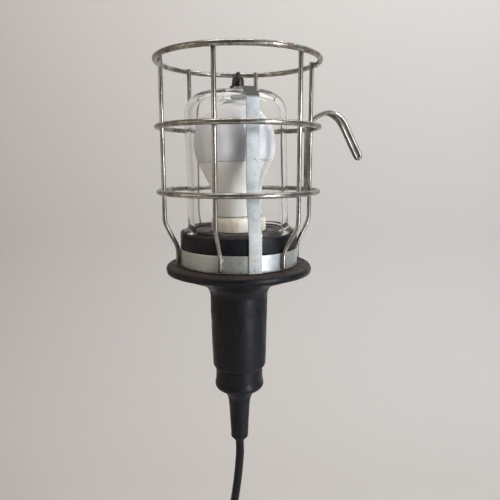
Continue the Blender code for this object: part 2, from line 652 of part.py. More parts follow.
def make_cord():
    lead = [(0, 0, BOOT_END_Z - 0.3), (0.2, 0, -298.0), (0, 0, -306.0), (-1.6, 0, -324.0), (-4.6, 0, -346.0),
            (-9.2, 0, -368.0), (-14.8, 0, -390.0), (-20.8, 0, -411.0), (-25.4, 0, -427.0),
            (-COIL_INNER_R, 0, COIL_Z)]
    wire("cord_lead", smooth_path(lead, 14.0), CORD_R, RUBBER)
    inner, outer, half = coil_rings()
    ring = [(outer, half), (outer, -half), (inner, -half), (inner, half)]
    coil = turned("cord_coil", ring, RUBBER, ROUND, closed=True)
    coil.location = Vector((0, COIL_Y, COIL_Z)) * MM
    coil.rotation_euler.x = math.pi / 2
    outer_turn = COIL_INNER_R + (COIL_LAYERS - 1) * COIL_PITCH
    back_row = COIL_Y + (COIL_ROWS - 1) * COIL_PITCH / 2
    wire("cord_tail", [(-outer_turn, back_row, COIL_Z - 27.0), (-outer_turn, back_row, COIL_Z - 40.0),
                       (-outer_turn, back_row, COIL_Z - 52.0)], CORD_R, RUBBER)
    make_plug(-outer_turn, back_row, COIL_Z - 52.3)
    make_tie(inner, outer, half)


def make_tie(inner, outer, half):
    """A fabric tie round all the coil's turns, clear of the lead."""
    thickness = 1.4
    low, high = inner - 1.2, outer + 0.4
    side = half + 0.4
    hole = [(low, -side), (high, -side), (high, side), (low, side)]
    rim = [(low - thickness, -side - thickness), (high + thickness, -side - thickness),
           (high + thickness, side + thickness), (low - thickness, side + thickness)]
    tie = plate("coil_tie", [rim, hole], 12.0, TIE_FABRIC)
    angle = math.radians(TIE_ANGLE)
    outward = Vector((math.sin(angle), 0, math.cos(angle)))
    back_way = Vector((0, 1, 0))
    tie.rotation_euler = Matrix((outward, back_way, outward.cross(back_way))).transposed().to_euler()
    tie.location = Vector((0, COIL_Y, COIL_Z)) * MM
    solid_from_curve(tie)


def make_plug(x, y, top):
    """A round moulded two-pin plug that hangs from the cord's end, pins down."""
    grip = [(CORD_R + 0.9, 0.0), (5.2, -1.5), (6.6, -18.0), (8.5, -22.0), (13.5, -27.0), (15.0, -33.0),
            (16.6, -44.0), (18.0, -46.0), (18.0, -51.0), (17.2, -52.0)]
    body = turned("plug_body", [(0, 0)] + grip + [(0, -52.0)], RUBBER, 24, base=(x, y, top))
    for number, side in enumerate((1, -1), 1):
        tool = as_tool(rod(f"pin_hole_{number}", 2.75, -53.0, -44.0, RUBBER, x=9.5 * side))
        tool.parent = body
        boolean(body, tool)
        rod(f"plug_pin_{number}", 2.4, top - 71.0, top - 44.4, BRASS, x + 9.5 * side, y)


make_rings()
make_cage_wires()
make_band()
make_strap("strap_front", STRAP_AZIMUTH, FRONT_STRAP_Z)
make_strap("strap_rear", STRAP_AZIMUTH + 180.0, REAR_STRAP_Z, slack=0.5)
make_clamp()
make_hook()
make_jar()
make_seat()
make_housing()
make_lampholder()
make_bulb()
make_handle()
make_cord_entry()
make_cord()
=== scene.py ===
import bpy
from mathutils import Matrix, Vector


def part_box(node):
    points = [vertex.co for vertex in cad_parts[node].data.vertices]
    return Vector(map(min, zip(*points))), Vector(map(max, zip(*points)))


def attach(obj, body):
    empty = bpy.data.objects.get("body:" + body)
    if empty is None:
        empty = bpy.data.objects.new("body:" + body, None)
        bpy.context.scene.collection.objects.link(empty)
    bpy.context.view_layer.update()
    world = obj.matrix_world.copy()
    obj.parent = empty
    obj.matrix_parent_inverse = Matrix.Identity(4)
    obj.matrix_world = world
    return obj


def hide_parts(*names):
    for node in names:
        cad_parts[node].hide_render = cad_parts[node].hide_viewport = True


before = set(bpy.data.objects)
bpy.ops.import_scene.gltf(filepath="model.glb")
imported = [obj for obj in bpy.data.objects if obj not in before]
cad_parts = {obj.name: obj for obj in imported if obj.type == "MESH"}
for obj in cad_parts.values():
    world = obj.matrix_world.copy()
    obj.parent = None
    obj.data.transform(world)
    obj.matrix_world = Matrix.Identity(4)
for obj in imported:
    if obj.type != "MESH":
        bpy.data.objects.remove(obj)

"""Looks of the hand inspection lamp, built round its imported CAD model.

Shapes are worked out in millimetres in the row frame's directions: x to the hook's side, y to the
back and z up. The lamp's axis stands at AXIS; azimuth 0 is the front and 90 is the hook's side.
"""
import math
import random

import bmesh
import bpy
from mathutils import Matrix, Vector, noise

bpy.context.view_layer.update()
MM = 0.001
SCENE = bpy.context.scene


def low(node):
    """The low corner of a CAD node's box, in millimetres."""
    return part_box(node)[0] / MM


def high(node):
    """The high corner of a CAD node's box, in millimetres."""
    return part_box(node)[1] / MM


# ---- places and sizes taken from the frame, in millimetres ----
AXIS = (low("handle") + high("handle")) / 2
RINGS = ("cage_ring_top", "cage_ring_middle", "cage_ring_bottom")
RING_OUTER_R = (high("cage_ring_top").x - low("cage_ring_top").x) / 2
BAND_TOP_Z, BAND_BOTTOM_Z = high("cage_band").z, low("cage_band").z
BAND_R = (high("cage_band").x - low("cage_band").x) / 2
COLLAR_TOP_Z = high("rubber_collar").z
COLLAR_R = (high("rubber_collar").x - low("rubber_collar").x) / 2
FLANGE_TOP_Z, HANDLE_END_Z = high("handle").z, low("handle").z
FLANGE_R = (high("handle").x - low("handle").x) / 2
BOOT_END_Z = low("strain_relief").z
HOUSING_TOP_Z = high("lampholder_housing").z
HOUSING_R = (high("lampholder_housing").x - low("lampholder_housing").x) / 2
COIL_CENTRE = (low("cord_coil") + high("cord_coil")) / 2
PLUG_TOP_Z, PLUG_END_Z = high("plug_body").z, low("plug_body").z
NUT_FOOT_Z = low("wing_nut").z

# ---- sizes that the frame's boxes don't give, in millimetres ----
RING_WIRE_R = 1.9
RING_R = RING_OUTER_R - RING_WIRE_R
CAGE_WIRE_R = 1.6
CAGE_R = RING_R - RING_WIRE_R - CAGE_WIRE_R + 0.1
CAGE_BEND_Z = -112.0
CAGE_WIRES = ((-75, -75), (-14.5, -14.5), (49, 44), (101, 101), (166, 166), (226, 226))
STRAP_AZIMUTH = 15.8
STRAP_W = 9.2
STRAP_T = 1.0
STRAP_LAP = 7.5
STRAP_BEND_R = 38.7
STRAP_BEND_Z = -26.1
JAR_TILT = -1.0
JAR_PIVOT_Z = -120.0
JAR_SHIFT_X = -0.3
JAR_TOP_Z = -19.2
JAR_TOP_R = 36.7
JAR_BASE_R = 37.4
JAR_WALL = 4.2
JAR_TOP_T = 4.2
JAR_DIMPLE = 1.6
JAR_SHOULDER = 14.9
JAR_INNER_SHOULDER = 10.7
JAR_FOOT_R = 41.2
JAR_FOOT_Z = -121.5
JAR_FLARE_Z = -113.5
HANDLE_TOP_R = 22.0
HANDLE_BORE_R = 16.0
FILLET_R = 12.0
FILLET_Z = -169.5
CAP_FLOOR_Z = -243.8
HOOK_WIRE_R = 1.65
HOOK_PITCH = 3.6
BULB_TILT = -2.0
BULB_PIVOT_Z = -129.0
BULB_R = 30.0
BULB_CENTRE_Z = -56.0
SEAM_Z = -67.6
CORD_R = 3.4
COIL_PITCH = 6.9
COIL_LAYERS = 4
COIL_ROWS = 5
COIL_INNER_R = 27.45
TIE_ANGLE = 35.0


# ---- camera and cord ----
def make_camera():
    """The photograph's viewpoint: a little above the lamp's middle, tipped 10 degrees down."""
    data = bpy.data.cameras.new("camera")
    data.sensor_width = 36.0
    data.lens = 35.69
    data.clip_start = 0.01
    camera = bpy.data.objects.new("camera", data)
    camera.location = (0.0086, -0.4292, -0.0687)
    camera.rotation_euler = (math.radians(79.96), math.radians(0.06), 0.0)
    SCENE.collection.objects.link(camera)
    SCENE.camera = camera


def smooth_step(value):
    """0 below 0, 1 above 1, and an even S between."""
    value = max(0.0, min(1.0, value))
    return value * value * (3.0 - 2.0 * value)


def smooth_path(points, spacing):
    """Points about one spacing apart on a smooth curve through the given points."""
    points = [Vector(point) for point in points]
    ends = [2 * points[0] - points[1]] + points + [2 * points[-1] - points[-2]]
    fine = []
    for a, b, c, d in zip(ends, ends[1:], ends[2:], ends[3:]):
        for i in range(24):
            t = i / 24
            fine.append(0.5 * ((2 * b) + (c - a) * t + (2 * a - 5 * b + 4 * c - d) * t ** 2
                               + (3 * b - a - 3 * c + d) * t ** 3))
    fine.append(points[-1])
    lengths = [0.0]
    for a, b in zip(fine, fine[1:]):
        lengths.append(lengths[-1] + (b - a).length)
    count = max(1, round(lengths[-1] / spacing))
    result = []
    index = 0
    for k in range(count + 1):
        target = lengths[-1] * k / count
        while index < len(fine) - 2 and lengths[index + 1] < target:
            index += 1
        span = lengths[index + 1] - lengths[index]
        result.append(fine[index].lerp(fine[index + 1], (target - lengths[index]) / span))
    return result


def coil_points(per_turn=24):
    """The coil's turns, front row first: out along one row of layers, back in along the next."""
    seats = []
    for row in range(COIL_ROWS):
        layers = range(COIL_LAYERS) if row % 2 == 0 else reversed(range(COIL_LAYERS))
        for layer in layers:
            y = (row - (COIL_ROWS - 1) / 2) * COIL_PITCH
            seats.append((COIL_INNER_R + layer * COIL_PITCH, y))
    seats.append(seats[-1])
    front = AXIS.y - COIL_CENTRE.y
    points = []
    for turn, (seat, following) in enumerate(zip(seats, seats[1:])):
        for i in range(per_turn):
            share = i / per_turn
            step = smooth_step((share - 0.75) / 0.25)
            radius = seat[0] + (following[0] - seat[0]) * step
            y = seat[1] + (following[1] - seat[1]) * step
            if turn == 0:
                y = front + (y - front) * smooth_step(share / 0.5)
            angle = math.pi + 2 * math.pi * share
            points.append(COIL_CENTRE + Vector((radius * math.cos(angle), y, radius * math.sin(angle))))
    return points


def cord_route():
    """From the boot down to the coil, round its 20 turns and down to the plug."""
    lead = [(0, 0, BOOT_END_Z + 6.0), (0, 0, BOOT_END_Z - 0.3), (0.2, 0, -298.0), (0, 0, -306.0),
            (-1.6, 0, -324.0), (-4.6, 0, -346.0), (-9.2, 0, -368.0), (-14.8, 0, -390.0), (-20.8, 0, -411.0),
            (-25.4, 0, -427.0), (-COIL_INNER_R, 0, COIL_CENTRE.z)]
    route = smooth_path([(x, AXIS.y + y, z) for x, y, z in lead], 6.0)[:-1]
    route += coil_points()
    last_x = COIL_CENTRE.x - COIL_INNER_R - (COIL_LAYERS - 1) * COIL_PITCH
    last_y = COIL_CENTRE.y + (COIL_ROWS - 1) * COIL_PITCH / 2
    for z in (0, -9, -18, -27, -36, -45, -52.3 - 6.0):
        route.append(Vector((last_x, last_y, COIL_CENTRE.z + z)))
    return route


def make_cord():
    curve = bpy.data.curves.new("cord", "CURVE")
    curve.dimensions = "3D"
    curve.bevel_depth = CORD_R * MM
    curve.bevel_resolution = 5
    curve.use_fill_caps = True
    route = cord_route()
    spline = curve.splines.new("POLY")
    spline.points.add(len(route) - 1)
    for point, place in zip(spline.points, route):
        point.co = (*(place * MM), 1.0)
    spline.use_smooth = True
    cord = bpy.data.objects.new("cord", curve)
    SCENE.collection.objects.link(cord)
    return cord


# ---- materials ----
class Paint:
    """A material's node tree, built by short calls. Sizes are in millimetres on the object."""

    def __init__(self, name):
        self.material = bpy.data.materials.new(name)
        self.material.use_nodes = True
        self.tree = self.material.node_tree
        self.shader = self.tree.nodes["Principled BSDF"]
        self.where = self.node("ShaderNodeTexCoord").outputs["Object"]

    def node(self, kind, **settings):
        node = self.tree.nodes.new(kind)
        for key, value in settings.items():
            setattr(node, key, value)
        return node

    def feed(self, target, value):
        if isinstance(value, bpy.types.NodeSocket):
            self.tree.links.new(value, target)
        elif isinstance(value, tuple) and len(value) == 3 and target.type == "RGBA":
            target.default_value = (*value, 1.0)
        else:
            target.default_value = value

    def set(self, **inputs):
        """Sets the shader's own sockets, named with underscores for spaces."""
        for key, value in inputs.items():
            self.feed(self.shader.inputs[key.replace("_", " ")], value)
        return self

    def stretched(self, scale):
        mapping = self.node("ShaderNodeMapping")
        self.feed(mapping.inputs["Vector"], self.where)
        mapping.inputs["Scale"].default_value = scale
        return mapping.outputs["Vector"]

    def noise(self, size, detail=4.0, roughness=0.55, stretch=None, shift=0.0):
        texture = self.node("ShaderNodeTexNoise", noise_dimensions="4D")
        self.feed(texture.inputs["Vector"], self.stretched(stretch) if stretch else self.where)
        texture.inputs["Scale"].default_value = 1.0 / (size * MM)
        texture.inputs["Detail"].default_value = detail
        texture.inputs["Roughness"].default_value = roughness
        texture.inputs["W"].default_value = shift
        return texture.outputs["Fac"]

    def levels(self, value, low_end, high_end, start=0.0, end=1.0):
        node = self.node("ShaderNodeMapRange")
        self.feed(node.inputs["Value"], value)
        ends = {"From Min": low_end, "From Max": high_end, "To Min": start, "To Max": end}
        for key, number in ends.items():
            node.inputs[key].default_value = number
        return node.outputs["Result"]

    def maths(self, operation, a, b):
        node = self.node("ShaderNodeMath", operation=operation)
        self.feed(node.inputs[0], a)
        self.feed(node.inputs[1], b)
        return node.outputs[0]

    def mix(self, factor, a, b):
        node = self.node("ShaderNodeMix", data_type="RGBA")
        self.feed(node.inputs[0], factor)
        self.feed(node.inputs[6], a)
        self.feed(node.inputs[7], b)
        return node.outputs[2]

    def axis(self, letter):
        """One of the object's coordinates, in metres."""
        node = self.node("ShaderNodeSeparateXYZ")
        self.feed(node.inputs[0], self.where)
        return node.outputs[letter]

    def upward(self):
        """How far the surface faces up, from -1 to 1."""
        node = self.node("ShaderNodeSeparateXYZ")
        self.feed(node.inputs[0], self.node("ShaderNodeNewGeometry").outputs["Normal"])
        return node.outputs["Z"]

    def bump(self, height, depth, strength=1.0):
        node = self.node("ShaderNodeBump")
        node.inputs["Strength"].default_value = strength
        node.inputs["Distance"].default_value = depth * MM
        self.feed(node.inputs["Height"], height)
        self.feed(self.shader.inputs["Normal"], node.outputs["Normal"])


def weathered_steel(name, rust, stretch=None):
    """Old plated wire: bright where rubbed, grey-brown where dull, with freckles of rust."""
    paint = Paint(name)
    wear = paint.levels(paint.noise(7.0, 6.0, 0.65, stretch), 0.40, 0.62)
    grime = paint.levels(paint.noise(1.3, 4.0, 0.6, None, 3.0), 0.45, 0.75)
    colour = paint.mix(wear, (0.22, 0.21, 0.18), (0.52, 0.505, 0.455))
    colour = paint.mix(paint.maths("MULTIPLY", grime, 0.4), colour, (0.10, 0.088, 0.07))
    patches = paint.maths("ADD", paint.noise(11.0, 5.0, 0.7, None, 7.0), rust)
    rusty = paint.levels(patches, 0.62, 0.7)
    brown = paint.mix(paint.noise(2.0), (0.085, 0.048, 0.028), (0.20, 0.11, 0.058))
    paint.set(Base_Color=paint.mix(rusty, colour, brown), Metallic=paint.levels(rusty, 0.0, 1.0, 1.0, 0.25),
              Roughness=paint.maths("ADD", paint.levels(wear, 0.0, 1.0, 0.34, 0.2),
                                    paint.maths("MULTIPLY", rusty, 0.35)))
    paint.bump(paint.maths("ADD", paint.noise(0.9, 5.0), rusty), 0.08, 0.5)
    return paint.material


def galvanised(name, warm=0.0, painted_dark_top=False, dull=0.0):
    """Zinc-coated sheet: pale blue-grey, cloudy, with pin-prick specks and a few rust spots."""
    paint = Paint(name)
    cloud = paint.levels(paint.noise(9.0, 5.0, 0.6), 0.3, 0.7)
    colour = paint.mix(cloud, (0.45, 0.485, 0.495), (0.66, 0.695, 0.705))
    colour = paint.mix(paint.levels(paint.noise(24.0, 2.0, 0.5, None, 5.0), 0.4, 0.65, 0.0, 0.4 + warm),
                       colour, (0.58, 0.54, 0.44))
    specks = paint.levels(paint.noise(1.1, 3.0, 0.7, None, 2.0), 0.54, 0.66, 0.0, 0.5)
    colour = paint.mix(specks, colour, (0.24, 0.24, 0.235))
    edge = paint.levels(paint.axis("Z"), (BAND_BOTTOM_Z + 4.0) * MM, BAND_BOTTOM_Z * MM, 0.0, 0.1)
    spots = paint.levels(paint.maths("ADD", paint.noise(2.2, 3.0, 0.6, None, 9.0), edge), 0.66, 0.71)
    colour = paint.mix(spots, colour, (0.17, 0.095, 0.05))
    # Painted shade: with this flag the faces that look up are painted near-black, standing in for the shade
    # on the strap's top.
    if painted_dark_top:
        dust_and_top_shade = paint.levels(paint.upward(), 0.2, 0.6, 0.0, 0.95)
        colour = paint.mix(dust_and_top_shade, colour, (0.055, 0.05, 0.045))
    paint.set(Base_Color=colour, Metallic=paint.levels(spots, 0.0, 1.0, 0.8 - dull, 0.15),
              Roughness=paint.levels(paint.noise(3.0, 5.0, 0.6, None, 4.0), 0.3, 0.7,
                                     0.34 + dull, 0.5 + dull))
    paint.bump(paint.noise(1.2, 4.0, 0.6), 0.05, 0.6)
    return paint.material


def dark_metal(name):
    """Blackened steel, worn to bronze on its high places."""
    paint = Paint(name)
    worn = paint.levels(paint.noise(2.6, 5.0, 0.65), 0.5, 0.66)
    paint.set(Base_Color=paint.mix(worn, (0.05, 0.05, 0.052), (0.24, 0.21, 0.18)), Metallic=0.9,
              Roughness=paint.levels(worn, 0.0, 1.0, 0.42, 0.28))
    paint.bump(paint.noise(0.8, 4.0), 0.06, 0.6)
    return paint.material


def rubber(name, shine=0.42, dust=1.0, grain=0.7):
    """Black moulded rubber, satin, scuffed, with brownish dust on what faces up."""
    paint = Paint(name)
    cloud = paint.noise(16.0, 5.0, 0.6)
    colour = paint.mix(cloud, (0.003, 0.003, 0.005), (0.007, 0.0075, 0.011))
    scuffs = paint.levels(paint.noise(3.5, 6.0, 0.75, (1.0, 1.0, 0.35), 6.0), 0.56, 0.78, 0.0, 0.4)
    colour = paint.mix(scuffs, colour, (0.05, 0.048, 0.047))
    dust_and_top_shade = paint.levels(paint.upward(), 0.5, 0.95, 0.0, 0.75 * dust)
    dust_and_top_shade = paint.maths("MULTIPLY", dust_and_top_shade, paint.levels(paint.noise(6.0, 5.0, 0.7, None, 8.0), 0.25, 0.6))
    colour = paint.mix(dust_and_top_shade, colour, (0.085, 0.058, 0.043))
    rough = paint.levels(paint.noise(7.0, 6.0, 0.7, (1.0, 1.0, 0.6), 1.0), 0.36, 0.64,
                         shine - 0.16, shine + 0.24)
    paint.set(Base_Color=colour, Roughness=paint.maths("ADD", rough, paint.maths("MULTIPLY", dust_and_top_shade, 0.4)),
              Specular_IOR_Level=0.29)
    paint.bump(paint.maths("ADD", paint.noise(grain, 4.0, 0.6),
                           paint.maths("MULTIPLY", paint.noise(9.0, 2.0), 4.0)), 0.05, 0.5)
    return paint.material


def clear_glass():
    """Clear glass with faint smears, which bends light less than real glass. Lamps shine through it."""
    paint = Paint("jar_glass_clear")
    smears = paint.levels(paint.noise(14.0, 5.0, 0.7, (1.0, 1.0, 0.4)), 0.58, 0.8, 0.0, 0.07)
    paint.set(Base_Color=(0.99, 0.993, 0.99), Roughness=smears, Transmission_Weight=1.0, IOR=1.22)
    tree = paint.tree
    lamps = paint.node("ShaderNodeLightPath").outputs["Is Shadow Ray"]
    through = paint.node("ShaderNodeBsdfTransparent")
    through.inputs["Color"].default_value = (0.90, 0.91, 0.905, 1.0)
    mixed = paint.node("ShaderNodeMixShader")
    tree.links.new(lamps, mixed.inputs["Fac"])
    tree.links.new(paint.shader.outputs["BSDF"], mixed.inputs[1])
    tree.links.new(through.outputs["BSDF"], mixed.inputs[2])
    tree.links.new(mixed.outputs["Shader"], tree.nodes["Material Output"].inputs["Surface"])
    return paint.material


def moulded(name, colour, shade, roughness, metallic=0.0, size=12.0, depth=0.02):
    """A moulded or turned surface whose colour drifts between two tones."""
    paint = Paint(name)
    drift_and_side_shade = paint.levels(paint.noise(size, 5.0, 0.6), 0.3, 0.7)
    paint.set(Base_Color=paint.mix(drift_and_side_shade, colour, shade), Metallic=metallic,
              Roughness=paint.levels(paint.noise(size / 3, 4.0, 0.6, None, 4.0), 0.3, 0.7,
                                     roughness * 0.85, roughness * 1.2))
    paint.bump(paint.noise(size / 8, 4.0), depth, 0.5)
    return paint.material


def milky_dome():
    """The bulb's diffuser: milky plastic, a little dusty at the top."""
    paint = Paint("milky_dome")
    drift_and_side_shade = paint.levels(paint.noise(20.0, 3.0, 0.5), 0.3, 0.7)
    colour = paint.mix(drift_and_side_shade, (0.53, 0.515, 0.53), (0.59, 0.575, 0.595))
    dust = paint.levels(paint.upward(), 0.2, 1.0, 0.0, 0.3)
    paint.set(Base_Color=paint.mix(dust, colour, (0.48, 0.46, 0.43)), Roughness=0.5, Specular_IOR_Level=0.3,
              Subsurface_Weight=0.15, Subsurface_Scale=0.004)
    paint.bump(paint.noise(2.5, 3.0), 0.02, 0.4)
    return paint.material


def stained_ivory():
    """The neck ring and the bulb's base: ivory plastic, browned in streaks."""
    paint = Paint("stained_ivory")
    stain = paint.levels(paint.noise(9.0, 4.0, 0.6, (1.0, 1.0, 0.3)), 0.42, 0.62)
    paint.set(Base_Color=paint.mix(stain, (0.74, 0.70, 0.62), (0.56, 0.43, 0.27)),
              Roughness=paint.levels(paint.noise(4.0), 0.3, 0.7, 0.25, 0.4))
    paint.bump(paint.noise(1.5, 3.0), 0.02, 0.4)
    return paint.material


def woven_tie():
    """Black woven tape with a fine cross weave."""
    paint = Paint("woven_tape")
    threads = []
    for direction in ("X", "Z"):
        wave = paint.node("ShaderNodeTexWave", bands_direction=direction)
        paint.feed(wave.inputs["Vector"], paint.where)
        wave.inputs["Scale"].default_value = 320.0
        wave.inputs["Distortion"].default_value = 0.6
        threads.append(wave.outputs["Fac"])
    weave = paint.maths("MULTIPLY", threads[0], threads[1])
    paint.set(Base_Color=paint.mix(weave, (0.012, 0.012, 0.014), (0.05, 0.05, 0.056)), Roughness=0.85,
              Sheen_Weight=0.3)
    paint.bump(weave, 0.25, 0.8)
    return paint.material


STEEL = weathered_steel("weathered_steel", 0.0, (1.0, 1.0, 0.25))
RUSTY_STEEL = weathered_steel("rusty_steel", 0.07)
# The strap gets the painted dark top: painted shade on its upward faces.
STRAP_ZINC = galvanised("galvanised_strap", painted_dark_top=True, dull=0.2)
BAND_ZINC = galvanised("galvanised_band", 0.3)
DARK = dark_metal("blackened_steel")
RUBBER = rubber("moulded_rubber")
CORD_RUBBER = rubber("cord_rubber", 0.36, 0.3, 0.5)
BAKELITE = moulded("black_moulding", (0.02, 0.018, 0.017), (0.035, 0.03, 0.028), 0.32)
GLASS = clear_glass()
DOME = milky_dome()
WHITE = moulded("white_moulding", (0.62, 0.585, 0.54), (0.70, 0.665, 0.62), 0.13, size=25.0, depth=0.01)
IVORY = stained_ivory()
BRASS = moulded("dull_brass", (0.62, 0.47, 0.22), (0.48, 0.34, 0.15), 0.3, 1.0, 5.0)
NICKEL = moulded("nickel_cap", (0.66, 0.65, 0.62), (0.5, 0.49, 0.46), 0.28, 1.0, 5.0)
PORCELAIN = moulded("glazed_ceramic", (0.80, 0.78, 0.73), (0.74, 0.71, 0.65), 0.16)
BOARD = moulded("white_board", (0.78, 0.79, 0.77), (0.70, 0.72, 0.70), 0.4, size=4.0)
BROWN = moulded("brown_core", (0.22, 0.10, 0.045), (0.17, 0.075, 0.035), 0.42, size=5.0)
BLUE = moulded("blue_core", (0.07, 0.19, 0.48), (0.05, 0.14, 0.38), 0.42, size=5.0)
TAPE = woven_tie()

NODE_MATERIALS = {
    "jar_gasket": RUBBER, "cord_inside": CORD_RUBBER, "live_core": BROWN, "neutral_core": BLUE,
    "screw_shell": BRASS, "centre_contact": BRASS, "side_contact": BRASS, "terminal_screw_1": BRASS,
    "terminal_screw_2": BRASS, "bulb_tip_contact": BRASS, "lampholder_insert": PORCELAIN,
    "bulb_screw_cap": NICKEL, "bulb_cap_insulator": BAKELITE, "bulb_led_board": BOARD,
    "bulb_driver_board": BOARD, "cord_clamp_front": BAKELITE, "cord_clamp_rear": BAKELITE,
    "cord_clamp_screw_1": DARK, "cord_clamp_screw_2": DARK, "clamp_screw": DARK,
}


# ---- helpers for shapes ----
def piece(shape, name, material, slot, *nodes, body="root", matrix=None, sharp=40.0):
    """Turn a bmesh in millimetres into a piece that stands for CAD nodes and rides on a body."""
    if matrix:
        shape.transform(matrix)
    shape.transform(Matrix.Diagonal((MM, MM, MM, 1.0)))
    bmesh.ops.recalc_face_normals(shape, faces=shape.faces)
    mesh = bpy.data.meshes.new(name)
    shape.to_mesh(mesh)
    shape.free()
    mesh.shade_smooth()
    mesh.set_sharp_from_angle(angle=math.radians(sharp))
    mesh.materials.append(material)
    obj = bpy.data.objects.new(name, mesh)
    SCENE.collection.objects.link(obj)
    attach(obj, body)
    if nodes:
        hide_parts(*nodes)
    return obj


ON_AXIS = Matrix.Translation((AXIS.x, AXIS.y, 0.0))
ON_JAR = (ON_AXIS @ Matrix.Translation((JAR_SHIFT_X, 0, JAR_PIVOT_Z))
          @ Matrix.Rotation(math.radians(JAR_TILT), 4, "Y") @ Matrix.Translation((0, 0, -JAR_PIVOT_Z)))
ON_BULB = (ON_AXIS @ Matrix.Translation((0, 0, BULB_PIVOT_Z))
           @ Matrix.Rotation(math.radians(BULB_TILT), 4, "Y") @ Matrix.Translation((0, 0, -BULB_PIVOT_Z)))


def around(azimuth, radius, z):
    """A point about the lamp's axis, with the axis at zero."""
    angle = math.radians(azimuth)
    return Vector((radius * math.sin(angle), -radius * math.cos(angle), z))


def arc(centre_r, centre_z, radius, start, end, steps):
    """Profile points on a circle, from one angle to another in degrees."""
    points = []
    for i in range(steps + 1):
        angle = math.radians(start + (end - start) * i / steps)
        points.append((centre_r + radius * math.cos(angle), centre_z + radius * math.sin(angle)))
    return points


def softened(points, reach, steps=4, closed=False):
    """A path with its corners rounded, starting up to one reach from each."""
    points = [Vector(point) for point in points]
    if closed:
        triples = list(zip(points[-1:] + points[:-1], points, points[1:] + points[:1]))
        result = []
    else:
        triples = list(zip(points, points[1:], points[2:]))
        result = [points[0]]
    for before, corner, after in triples:
        back, on = before - corner, after - corner
        start = corner + back.normalized() * min(reach, back.length * 0.45)
        end = corner + on.normalized() * min(reach, on.length * 0.45)
        for i in range(steps + 1):
            t = i / steps
            result.append(start * (1 - t) ** 2 + corner * 2 * t * (1 - t) + end * t ** 2)
    if not closed:
        result.append(points[-1])
    return result


def turned(profile, steps=96, closed=False, uneven=None):
    """A turned shape from (radius, height) pairs, down its outer side. uneven adds to the radius."""
    shape = bmesh.new()
    rows = []
    for radius, z in profile:
        if radius < 0.001:
            rows.append([shape.verts.new((0.0, 0.0, z))] * steps)
            continue
        row = []
        for i in range(steps):
            angle = 2 * math.pi * i / steps
            reach = radius + (uneven(angle, radius, z) if uneven else 0.0)
            row.append(shape.verts.new((reach * math.sin(angle), -reach * math.cos(angle), z)))
        rows.append(row)
    pairs = list(zip(rows, rows[1:]))
    if closed:
        pairs.append((rows[-1], rows[0]))
    for upper, lower in pairs:
        for i in range(steps):
            j = (i + 1) % steps
            shape.faces.new(dict.fromkeys((upper[i], lower[i], lower[j], upper[j])))
    return shape


def wavering(amount, size, seed=0.0):
    """A small smooth unevenness of a turned surface, in millimetres."""
    def uneven(angle, radius, z):
        place = Vector((radius * math.sin(angle), radius * math.cos(angle), z + seed)) / size
        return amount * noise.noise(place)
    return uneven


def tube(shape, points, radius, sides=16, dome=0.5, closed=False):
    """Add a round tube along points. Its ends are domed by this share of the radius."""
    points = [Vector(point) for point in points]
    count = len(points)
    stations = []
    across = None
    for i, point in enumerate(points):
        before = points[i - 1] if i or closed else points[i]
        after = points[(i + 1) % count] if i < count - 1 or closed else points[i]
        ahead = (after - before).normalized()
        if across is None:
            across = ahead.orthogonal()
        across = (across - ahead * across.dot(ahead)).normalized()
        stations.append((point, ahead, across, radius(i / (count - 1)) if callable(radius) else radius))
    if not closed:
        first, last = stations[0], stations[-1]
        caps = [(math.sin(math.radians(a)), math.cos(math.radians(a))) for a in (88, 65, 40, 18)]
        start = [(first[0] - first[1] * first[3] * dome * s, first[1], first[2], first[3] * c)
                 for s, c in caps]
        end = [(last[0] + last[1] * last[3] * dome * s, last[1], last[2], last[3] * c)
               for s, c in caps]
        stations = start + stations + end[::-1]
    rows = []
    for point, ahead, side, reach in stations:
        up = ahead.cross(side)
        row = []
        for k in range(sides):
            angle = 2 * math.pi * k / sides
            row.append(shape.verts.new(point + (side * math.cos(angle) + up * math.sin(angle)) * reach))
        rows.append(row)
    pairs = list(zip(rows, rows[1:]))
    if closed:
        pairs.append((rows[-1], rows[0]))
    else:
        shape.faces.new(rows[0])
        shape.faces.new(rows[-1])
    for a, b in pairs:
        for k in range(sides):
            shape.faces.new((a[k], a[(k + 1) % sides], b[(k + 1) % sides], b[k]))
    return shape


def strip(points, across, width, thickness, closed=False, soft=0.3):
    """A flat strip along points, its width along one fixed direction, its edges rounded."""
    points = [Vector(point) for point in points]
    across = Vector(across).normalized()
    w, t = width / 2, thickness / 2
    outline = softened([(-w, -t), (w, -t), (w, t), (-w, t)], soft, 3, closed=True)
    shape = bmesh.new()
    count = len(points)
    rows = []
    for i, point in enumerate(points):
        before = points[i - 1] if i or closed else points[i]
        after = points[(i + 1) % count] if i < count - 1 or closed else points[i]
        normal = (after - before).cross(across).normalized()
        rows.append([shape.verts.new(point + across * a + normal * b) for a, b in outline])
    pairs = list(zip(rows, rows[1:]))
    if closed:
        pairs.append((rows[-1], rows[0]))
    else:
        shape.faces.new(rows[0])
        shape.faces.new(rows[-1])
    for a, b in pairs:
        for k in range(len(outline)):
            j = (k + 1) % len(outline)
            shape.faces.new((a[k], a[j], b[j], b[k]))
    return shape


def blob(shape, place, turn, sizes, seed):
    """Add a lump with an uneven skin: its half sizes lie along the turned axes."""
    made = bmesh.ops.create_icosphere(shape, subdivisions=3, radius=1.0)["verts"]
    matrix = Matrix.Translation(place) @ turn @ Matrix.Diagonal((*sizes, 1.0))
    for vert in made:
        ripple = 1.0 + 0.16 * noise.noise(vert.co * 1.7 + Vector((seed, seed * 2.3, 0.0)))
        vert.co = matrix @ (vert.co * ripple)


